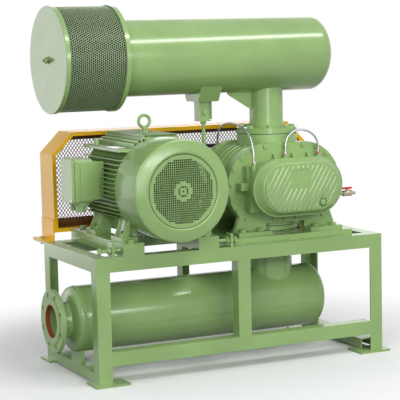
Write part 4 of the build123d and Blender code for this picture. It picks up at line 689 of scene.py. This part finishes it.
# %% [markdown]
# ## The motor's fan cowl
# The real cowl is spun from sheet: a drum, a sloping front and a dished face pierced with rows of
# small square holes, which end in steps at the rim. The drum is a profile spun round the motor's
# axis. The face starts as a grid with one cell for each hole. Each chosen cell is inset, which
# leaves the bar between holes, and its middle is deleted. A cylinder then trims the sheet round.

# %% Cowl drum and pierced face
cowl_low, cowl_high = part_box("fan_cowl")
cowl_centre = Vector(((cowl_low[0] + cowl_high[0]) / 2, 0, (cowl_low[2] + cowl_high[2]) / 2))
COWL_R = (cowl_high[0] - cowl_low[0]) / 2
COWL_FRONT, COWL_BACK = cowl_low[1], cowl_high[1]
DISH_R, DISH_DEPTH = 0.162, 0.0035
DRUM_SHEET, FACE_SHEET = 0.0025, 0.0016
drum = turned("cowl_drum", [
    (COWL_R, COWL_BACK), (COWL_R, COWL_FRONT + 0.020),
    (COWL_R - 0.0015, COWL_FRONT + 0.0155), (COWL_R - 0.006, COWL_FRONT + 0.0125),
    (COWL_R - 0.012, COWL_FRONT + 0.0108), (DISH_R + 0.012, COWL_FRONT + 0.0006),
    (DISH_R + 0.007, COWL_FRONT), (DISH_R + 0.003, COWL_FRONT + 0.001),
    (DISH_R, COWL_FRONT + DISH_DEPTH), (DISH_R - 0.003, COWL_FRONT + DISH_DEPTH),
], cowl_centre, (0, 1, 0), steps=128)
modify(drum, "SOLIDIFY", thickness=DRUM_SHEET, offset=-1)
smooth(drum, 35)

HOLE_PITCH, HOLE, CELLS = 0.0096, 0.0073, 35
FIELD_INNER, FIELD_OUTER = 0.042, 0.142
LIE_UPRIGHT = (math.pi / 2, 0, 0)
face_place = (cowl_centre.x, COWL_FRONT + DISH_DEPTH, cowl_centre.z)
grille = begin("cowl_grille", bpy.ops.mesh.primitive_grid_add, x_subdivisions=CELLS,
               y_subdivisions=CELLS, size=CELLS * HOLE_PITCH, location=face_place,
               rotation=LIE_UPRIGHT)


def is_hole(face):
    """Cells of the round field, and the small square of holes in the plain hub."""
    across = abs(round((face.center.x - cowl_centre.x) / HOLE_PITCH))
    down = abs(round((face.center.z - cowl_centre.z) / HOLE_PITCH))
    distance = math.hypot(across, down) * HOLE_PITCH
    hub = (max(across, down) == 2 and across + down < 4) or across + down == 0
    return FIELD_INNER < distance < FIELD_OUTER or hub


edit(grille, "FACE", is_hole)
bpy.ops.mesh.inset(thickness=(HOLE_PITCH - HOLE) / 2, use_individual=True)
bpy.ops.mesh.delete(type="FACE")
leave()
modify(grille, "SOLIDIFY", thickness=FACE_SHEET, offset=-1)
trim = begin("grille_trim", bpy.ops.mesh.primitive_cylinder_add, vertices=128,
             radius=DISH_R - 0.0002, depth=0.02, location=face_place, rotation=LIE_UPRIGHT)
modify(grille, "BOOLEAN", operation="INTERSECT", object=trim, solver="EXACT")
bpy.data.objects.remove(trim)
hand_over(drum, motor_green, stands_for=["fan_cowl"])
hand_over(grille, motor_green, stands_for=["fan_cowl"])

# %% [markdown]
# ## The guard's expanded mesh
# The back of the belt guard is expanded metal: a sheet is slit and pulled until the slits open
# into diamonds. One diamond is a square stood on its corner and inset, with the middle removed.
# Two arrays repeat it, a copy half a step away fills the gaps between, and straight cuts trim it
# to the guard's outline, where a flat frame holds the edge.

# %% Expanded mesh
mesh_low, mesh_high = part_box("guard_mesh")
DIAMOND_W, DIAMOND_H, STRAND = 0.0165, 0.0230, 0.0031
CORNER_CUT, FRAME_STRIP = 0.100, 0.046
mesh_y = mesh_high[1] - 0.0015


def diamond_field(name, start_x, start_z):
    """Rows and columns of diamonds from one corner of the guard."""
    cell = begin(name, bpy.ops.mesh.primitive_circle_add, vertices=4, radius=0.5,
                 fill_type="NGON", rotation=LIE_UPRIGHT)
    cell.scale = (DIAMOND_W, 1, DIAMOND_H)
    settle(cell)
    open_up(cell, STRAND / 2)
    repeat(cell, math.ceil((mesh_high[0] - mesh_low[0]) / DIAMOND_W) + 1, (DIAMOND_W, 0, 0))
    repeat(cell, math.ceil((mesh_high[2] - mesh_low[2]) / DIAMOND_H) + 1, (0, 0, DIAMOND_H))
    cell.location = (start_x, mesh_y, start_z)
    settle(cell)
    return cell


expanded = join([
    diamond_field("guard_mesh_sheet", mesh_low[0], mesh_low[2]),
    diamond_field("between", mesh_low[0] + DIAMOND_W / 2, mesh_low[2] + DIAMOND_H / 2),
])
merge(expanded)
margin = FRAME_STRIP / 2
for point, outward in (
    ((mesh_low[0] + margin, 0, 0), (-1, 0, 0)),
    ((mesh_high[0] - margin, 0, 0), (1, 0, 0)),
    ((0, 0, mesh_low[2] + margin), (0, 0, -1)),
    ((0, 0, mesh_high[2] - margin), (0, 0, 1)),
    ((mesh_low[0] + CORNER_CUT + margin / 2, 0, mesh_high[2] - margin), (-1, 0, 1)),
    ((mesh_high[0] - CORNER_CUT - margin / 2, 0, mesh_high[2] - margin), (1, 0, 1)),
):
    cut(expanded, point, outward)
modify(expanded, "SOLIDIFY", thickness=0.0016, offset=0)
hand_over(expanded, guard_net, stands_for=["guard_mesh"])

strip = begin("guard_mesh_frame", bpy.ops.mesh.primitive_plane_add, size=1,
              rotation=LIE_UPRIGHT)
strip.scale = (mesh_high[0] - mesh_low[0], 1, mesh_high[2] - mesh_low[2])
strip.location = ((mesh_low[0] + mesh_high[0]) / 2, mesh_high[1] - 0.0004,
                  (mesh_low[2] + mesh_high[2]) / 2)
settle(strip)
edit(strip, "VERT", lambda vertex: vertex.co.z > mesh_high[2] - 0.01)
bpy.ops.mesh.bevel(offset=CORNER_CUT, affect="VERTICES", segments=1)
leave()
open_up(strip, FRAME_STRIP)
modify(strip, "SOLIDIFY", thickness=0.0022, offset=0)
strip_top = max(v.co.y for v in strip.data.vertices)
for vertex in strip.data.vertices:
    vertex.co.y += mesh_high[1] - strip_top
hand_over(strip, guard_rim, stands_for=["guard_mesh"])

# %% [markdown]
# ## The filter's perforated screen
# The intake filter sits in a drum of perforated sheet. One cell is a hexagon, inset, with its
# middle removed; arrays make a flat sheet of them, as it leaves the press. The sheet is then
# rolled: a point's distance along the sheet becomes an angle round the filter's axis.

# %% Perforated drum
screen_low, screen_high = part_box("filter_screen")
filter_axis = Vector((0, (screen_low[1] + screen_high[1]) / 2,
                      (screen_low[2] + screen_high[2]) / 2))
SCREEN_R = (screen_high[2] - screen_low[2]) / 2
SCREEN_SHEET, SCREEN_MARGIN = 0.0012, 0.004
HOOP_W, HOOP_T = 0.014, 0.0025
HOLES_ROUND = 136
PERF = math.tau * SCREEN_R / HOLES_ROUND
ROW = PERF * math.sqrt(3) / 2
screen_length = screen_high[0] - screen_low[0]
print("hole pitch", round(PERF / MM, 2), "mm, rows", int(screen_length / ROW))


def hexagon_rows(name, shift_x, shift_y):
    """Every second row of hexagonal cells of a flat perforated sheet."""
    cell = begin(name, bpy.ops.mesh.primitive_circle_add, vertices=6,
                 radius=PERF / math.sqrt(3), fill_type="NGON")
    open_up(cell, PERF * 0.125)
    repeat(cell, HOLES_ROUND, (PERF, 0, 0))
    repeat(cell, int(screen_length / ROW / 2) + 1, (0, 2 * ROW, 0))
    cell.location = (shift_x, shift_y, 0)
    settle(cell)
    return cell


screen = join([hexagon_rows("filter_screen_sheet", 0, 0),
               hexagon_rows("odd_rows", PERF / 2, ROW)])
merge(screen)
cut(screen, (0, SCREEN_MARGIN, 0), (0, -1, 0))
cut(screen, (0, screen_length - SCREEN_MARGIN, 0), (0, 1, 0))
rolled_r = SCREEN_R - SCREEN_SHEET
for vertex in screen.data.vertices:
    angle = vertex.co.x / SCREEN_R
    vertex.co = filter_axis + Vector((screen_low[0] + vertex.co.y, rolled_r * math.sin(angle),
                                      rolled_r * math.cos(angle)))
merge(screen)
outwards(screen)
modify(screen, "SOLIDIFY", thickness=SCREEN_SHEET, offset=0)
hand_over(screen, mesh_green, body="filter_cover", stands_for=["filter_screen"])

for name, start in (("screen_front_hoop", screen_low[0]),
                    ("screen_back_hoop", screen_high[0] - HOOP_W)):
    hoop = turned(name, [
        (SCREEN_R - HOOP_T, start), (SCREEN_R, start), (SCREEN_R, start + HOOP_W),
        (SCREEN_R - HOOP_T, start + HOOP_W), (SCREEN_R - HOOP_T, start),
    ], filter_axis, (1, 0, 0), steps=128)
    smooth(hoop, 35)
    hand_over(hoop, sheet_green, body="filter_cover",
              stands_for=["filter_screen"])

# %% [markdown]
# ## The pleated filter element
# Inside the drum is a ring of dark pleated felt. It starts as a circle with two points for each
# pleat. Every second point is pulled towards the axis, the zigzag is extruded along the axis, and
# Solidify gives the felt its thickness.

# %% Pleats
felt_low, felt_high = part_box("filter_element")
FELT_R, PLEATS, PLEAT_DEPTH = SCREEN_R - 0.010, 110, 0.020
END_GAP = 0.001
felt = begin("pleated_felt", bpy.ops.mesh.primitive_circle_add, vertices=2 * PLEATS,
             radius=FELT_R, location=(felt_low[0] + END_GAP, filter_axis.y, filter_axis.z),
             rotation=(0, math.pi / 2, 0))
edit(felt, "VERT", lambda vertex: vertex.index % 2 == 0)
inner = (FELT_R - PLEAT_DEPTH) / FELT_R
bpy.ops.transform.resize(value=(1, inner, inner))
bpy.ops.mesh.select_all(action="SELECT")
bpy.ops.mesh.extrude_region_move(
    TRANSFORM_OT_translate={"value": (felt_high[0] - felt_low[0] - 2 * END_GAP, 0, 0)})
leave()
outwards(felt)
modify(felt, "SOLIDIFY", thickness=0.0015, offset=-1)
hand_over(felt, felt_black, stands_for=["filter_element"])

# %% [markdown]
# ## Face of the gear cover
# The casting's face is a raised field with slanting ribs, and the ribs are painted a paler green
# as a painted highlight along them. The field is a block with wholly rounded ends. One rib is a
# cylinder squashed to a low oval, which catches a light along its whole length where a square bar
# would not. An array repeats it, and Boolean cuts keep the ribs inside the face's outline, out of
# the smooth field in the middle and clear of the sight plug, which is turned from a profile.

# %% Cover face and ribs
def slab(name, low, high, corner, axis, chamfer=0.0):
    """A block whose edges along one axis are rounded, with a small chamfer all over."""
    block = begin(name, bpy.ops.mesh.primitive_cube_add, size=1,
                  scale=[b - a for a, b in zip(low, high)],
                  location=[(a + b) / 2 for a, b in zip(low, high)])
    spots = [vertex.co.copy() for vertex in block.data.vertices]

    def runs_along(edge):
        first, second = (spots[number] for number in edge.vertices)
        return abs((first - second)[axis]) > 1e-6

    edit(block, "EDGE", runs_along)
    bpy.ops.mesh.bevel(offset=corner, segments=12, affect="EDGES")
    leave()
    if chamfer:
        modify(block, "BEVEL", width=chamfer, segments=2, limit_method="ANGLE")
        smooth(block, 35)
        modify(block, "WEIGHTED_NORMAL", weight=100, keep_sharp=True)
    return block


cover_low, cover_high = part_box("gear_cover")
RIB_LEAN, RIB_PITCH, RIB_COUNT = math.radians(59), 0.0258, 15
RIB_HALF_W, RIB_HALF_H, RIB_LENGTH = 0.0029, 0.0030, 0.32
FACE_SPAN, FACE_R, FACE_RISE = 0.173, 0.1035, 0.0042
middle = Vector(((cover_low[0] + cover_high[0]) / 2, cover_low[1] + 0.006,
                 (cover_low[2] + cover_high[2]) / 2))
raised_y = middle.y - FACE_RISE


def face_block(name, front, back, inset, chamfer=0.0):
    """A block with the face's own round-ended outline."""
    radius = FACE_R - inset
    half = FACE_SPAN / 2 + radius
    return slab(name, (middle.x - half, front, middle.z - radius),
                (middle.x + half, back, middle.z + radius), radius * 0.999, 1, chamfer)


raised_face = face_block("cover_raised_face", raised_y, middle.y + 0.002, 0, 0.0016)
hand_over(raised_face, cast_green)

ribs = begin("cover_ribs", bpy.ops.mesh.primitive_cylinder_add, vertices=16, radius=1,
             depth=RIB_LENGTH, scale=(RIB_HALF_W, RIB_HALF_H, 1),
             location=(middle.x - RIB_COUNT // 2 * RIB_PITCH, raised_y, middle.z),
             rotation=(0, math.pi / 2 - RIB_LEAN, 0))
smooth(ribs, 50)
repeat(ribs, RIB_COUNT, (RIB_PITCH, 0, 0))
glass_low, glass_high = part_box("sight_glass")
plug_x, plug_z = (glass_low[0] + glass_high[0]) / 2, (glass_low[2] + glass_high[2]) / 2
outline = face_block("face_outline", middle.y - 0.02, middle.y + 0.001, 0.005)
bare_field = slab("smooth_field", (middle.x - 0.058, middle.y - 0.02, middle.z - 0.006),
                  (middle.x + 0.042, middle.y + 0.02, middle.z + 0.080), 0.004, 1)
plug_gap = begin("plug_gap", bpy.ops.mesh.primitive_cylinder_add, vertices=48, radius=0.024,
                 depth=0.04, location=(plug_x, middle.y, plug_z), rotation=LIE_UPRIGHT)
for operation, cutter in (("INTERSECT", outline), ("DIFFERENCE", bare_field),
                          ("DIFFERENCE", plug_gap)):
    modify(ribs, "BOOLEAN", operation=operation, object=cutter, solver="EXACT")
    bpy.data.objects.remove(cutter)
hand_over(ribs, rib_highlight_green)

plug = turned("sight_plug", [
    (0.0, middle.y - 0.013), (0.009, middle.y - 0.013), (0.0125, middle.y - 0.0118),
    (0.0140, middle.y - 0.0095), (0.0142, middle.y - 0.006), (0.0190, middle.y - 0.006),
    (0.0205, middle.y - 0.005), (0.0205, middle.y + 0.001),
], (plug_x, 0, plug_z), (0, 1, 0), steps=48)
smooth(plug, 35)
hand_over(plug, cast_green, stands_for=["sight_glass"])

# %% [markdown]
# ## The motor's terminal box
# The box is a casting with a raised rim where the lid is screwed on, and a raised field on its
# front. Both are blocks with rounded corners. The lid gets the same rounding and four screws:
# one screw head is a cylinder whose top is inset and pushed in for the socket, and the others
# are copies of its mesh.

# %% Terminal box
box_low, box_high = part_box("terminal_box")
lid_low, lid_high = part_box("terminal_lid")
RIM_PROUD, RIM_DEEP, SCREW_INSET = 0.004, 0.017, 0.013
rim = slab("terminal_box_rim", (lid_high[0], box_low[1] - RIM_PROUD, box_low[2] - RIM_PROUD),
           (lid_high[0] + RIM_DEEP, box_high[1] + RIM_PROUD, box_high[2] + RIM_PROUD),
           0.013, 0, 0.0015)
hand_over(rim, motor_green)
front_field = slab("terminal_box_field",
                   (lid_high[0] + 0.026, box_low[1] - 0.0035, box_low[2] + 0.012),
                   (box_high[0] - 0.006, box_low[1] + 0.002, box_high[2] - 0.012),
                   0.006, 1, 0.0015)
hand_over(front_field, motor_green)
lid = slab("terminal_box_lid", lid_low, lid_high, 0.012, 0, 0.0022)
hand_over(lid, motor_green, stands_for=["terminal_lid"])


def socket_head(name, place, rotation, radius, height):
    """A round screw head with a sunk socket, turned so that it looks the right way."""
    head = begin(name, bpy.ops.mesh.primitive_cylinder_add, vertices=24, radius=radius,
                 depth=height)
    edit(head, "FACE", lambda face: face.normal.z > 0.9)
    bpy.ops.mesh.inset(thickness=radius * 0.42)
    bpy.ops.transform.translate(value=(0, 0, -height * 0.6))
    leave()
    modify(head, "BEVEL", width=radius * 0.10, segments=2, limit_method="ANGLE")
    smooth(head, 35)
    head.rotation_euler, head.location = rotation, place
    settle(head)
    return head


def copies(piece, offsets):
    """Copies of a piece, each with its own mesh, joined with it."""
    family = [piece]
    for number, offset in enumerate(offsets):
        twin = bpy.data.objects.new(f"{piece.name}_{number}", piece.data.copy())
        twin.data.transform(Matrix.Translation(offset))
        bpy.context.scene.collection.objects.link(twin)
        family.append(twin)
    return join(family)


screw_across = lid_high[1] - lid_low[1] - 2 * SCREW_INSET
screw_up = lid_high[2] - lid_low[2] - 2 * SCREW_INSET
screws = socket_head("lid_screws",
                     (lid_low[0] - 0.0012, lid_low[1] + SCREW_INSET, lid_low[2] + SCREW_INSET),
                     (0, -math.pi / 2, 0), 0.0052, 0.004)
screws = copies(screws, [(0, screw_across, 0), (0, 0, screw_up), (0, screw_across, screw_up)])
hand_over(screws, zinc)

# %% [markdown]
# ## The ledge and feet of the motor
# The fins leave a ledge on the motor's left shoulder. On it are a thin, dull pad of darker green,
# whose darker colour is painted shade, a small metal plate that carries no words, held by two
# pins, and a round boss. Each foot of the frame has upright ribs. A rib is a block whose upper
# edge is drawn in to the foot's slope, so it reads as a triangle.

# %% Motor ledge and foot ribs
motor_low, motor_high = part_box("motor_frame")
motor_x = (motor_low[0] + motor_high[0]) / 2
LEDGE_TOP = 1.017
PLATE_TOP = LEDGE_TOP + 0.0026
pad = slab("ledge_pad", (-0.561, motor_low[1] + 0.047, LEDGE_TOP - 0.001),
           (-0.481, motor_high[1] - 0.001, LEDGE_TOP + 0.0008), 0.004, 2)
# the pad's darker green is painted shade on the ledge
hand_over(pad, ledge_shade_green)
plate = slab("motor_plate", (-0.552, -0.165, LEDGE_TOP), (-0.497, -0.060, PLATE_TOP),
             0.004, 2, 0.0004)
hand_over(plate, zinc)
boss = turned("ledge_boss", [
    (0.0, LEDGE_TOP + 0.030), (0.009, LEDGE_TOP + 0.030), (0.0125, LEDGE_TOP + 0.0275),
    (0.0135, LEDGE_TOP + 0.022), (0.0145, LEDGE_TOP),
], (-0.533, 0.095, 0), (0, 0, 1), steps=40)
smooth(boss, 35)
hand_over(boss, motor_green)
pins = socket_head("motor_plate_pins", (-0.5245, -0.158, PLATE_TOP), (0, 0, 0), 0.0028, 0.002)
pins = copies(pins, [(0, 0.091, 0)])
hand_over(pins, zinc)

RIB_OUT, RIB_ROOT = 0.194, 0.160
foot_top = motor_low[2] + 0.020
foot_ribs = []
for side in (-1, 1):
    for rib_y in (-0.262, -0.180, 0.048, 0.122):
        rib = begin(f"foot_rib_{side}_{rib_y}", bpy.ops.mesh.primitive_cube_add, size=1,
                    scale=(0.040, 0.008, 0.092),
                    location=(motor_x + side * RIB_OUT, rib_y, foot_top + 0.045))
        edit(rib, "VERT", lambda vertex: vertex.co.z > foot_top + 0.05)
        bpy.ops.transform.resize(value=(0.22, 1, 1),
                                 center_override=(motor_x + side * RIB_ROOT, rib_y, foot_top))
        leave()
        foot_ribs.append(rib)
foot_ribs = join(foot_ribs)
foot_ribs.name = "motor_foot_ribs"
modify(foot_ribs, "BEVEL", width=0.0018, segments=2, limit_method="ANGLE")
smooth(foot_ribs, 35)
hand_over(foot_ribs, motor_green)

# %% [markdown]
# ## Fins on top of the motor
# On top, the frame's cooling fins end in one plane and the eye bolt's boss stands between them.
# A thin dark bed stands for the shade in the gaps. One fin is a block with eased upper edges,
# and it is repeated in front of the boss, behind it and on each side.

# %% Top fins
PLATFORM_HALF, PLATFORM_TOP = 0.085, 1.065
FIN_THICK, FIN_STEP, FIN_HIGH = 0.0034, 0.0155, 0.009
BOSS_FRONT, BOSS_BACK = -0.092, -0.028
fin_middle = PLATFORM_TOP + FIN_HIGH / 2
bed = slab("top_fin_bed",
           (motor_x - PLATFORM_HALF + 0.002, motor_low[1] + 0.046, PLATFORM_TOP - 0.0005),
           (motor_x + PLATFORM_HALF - 0.002, motor_high[1] - 0.003, PLATFORM_TOP + 0.0008),
           0.003, 2)
hand_over(bed, painted_shade_green)
runs = []
# steps from the middle to the first fin, number of fins, front end, back end
for first, count, near, far in (
    (-5, 11, BOSS_BACK, motor_high[1]), (-5, 11, motor_low[1] + 0.045, BOSS_FRONT),
    (-5, 4, BOSS_FRONT, BOSS_BACK), (2, 4, BOSS_FRONT, BOSS_BACK),
):
    fin = begin("top_fin_run", bpy.ops.mesh.primitive_cube_add, size=1,
                scale=(FIN_THICK, far - near, FIN_HIGH),
                location=(motor_x + first * FIN_STEP, (near + far) / 2, fin_middle))
    spots = [vertex.co.copy() for vertex in fin.data.vertices]
    edit(fin, "EDGE", lambda edge: all(spots[i].z > fin_middle for i in edge.vertices))
    bpy.ops.mesh.bevel(offset=0.0009, segments=2, affect="EDGES")
    leave()
    repeat(fin, count, (FIN_STEP, 0, 0))
    runs.append(fin)
fins = join(runs)
fins.name = "motor_top_fins"
hand_over(fins, motor_green)

# %% [markdown]
# ## The discharge silencer's shell
# The lower tank is rolled sheet with a dished head at each end, and a short neck carries the
# port flange. The outline of neck, head, tube and far head is spun round the tank's axis, and
# two low half-round rings are the weld beads at the seams.

# %% Discharge silencer
tank_low, tank_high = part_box("discharge_silencer")
tank_axis = (0.0, port_axis[1], port_axis[2])
TANK_R, NECK_R, TANK_WALL = 0.149, 0.0795, 0.003
HEAD_X, FAR_X = -0.742, 0.496
far_depth = tank_high[0] - FAR_X
near_head = [
    (NECK_R, tank_low[0]), (NECK_R, HEAD_X - 0.006), (NECK_R + 0.002, HEAD_X - 0.001),
    (NECK_R + 0.008, HEAD_X + 0.001), (0.112, HEAD_X + 0.005), (0.131, HEAD_X + 0.011),
    (0.142, HEAD_X + 0.020), (0.1475, HEAD_X + 0.031), (TANK_R, HEAD_X + 0.044),
]
far_head = [
    (TANK_R * math.cos(math.radians(angle)), FAR_X + far_depth * math.sin(math.radians(angle)))
    for angle in range(0, 91, 9)
]
tank = turned("discharge_silencer_shell", near_head + far_head, tank_axis, (1, 0, 0), steps=112)
modify(tank, "SOLIDIFY", thickness=TANK_WALL, offset=-1)
smooth(tank, 40)
hand_over(tank, sheet_green, stands_for=["discharge_silencer"])

BEAD = 0.0032


def bead(name, place):
    """A weld bead round the tank: a low half-round ring on its skin."""
    ring = turned(name, [
        (TANK_R - 0.001, place - BEAD), (TANK_R + BEAD * 0.42, place - BEAD * 0.6),
        (TANK_R + BEAD * 0.6, place), (TANK_R + BEAD * 0.42, place + BEAD * 0.6),
        (TANK_R - 0.001, place + BEAD),
    ], tank_axis, (1, 0, 0), steps=112)
    smooth(ring, 60)
    return ring


beads = join([bead("silencer_weld_beads", HEAD_X + 0.046), bead("far_bead", FAR_X - 0.002)])
hand_over(beads, sheet_green)

# %% [markdown]
# ## Closing the scene
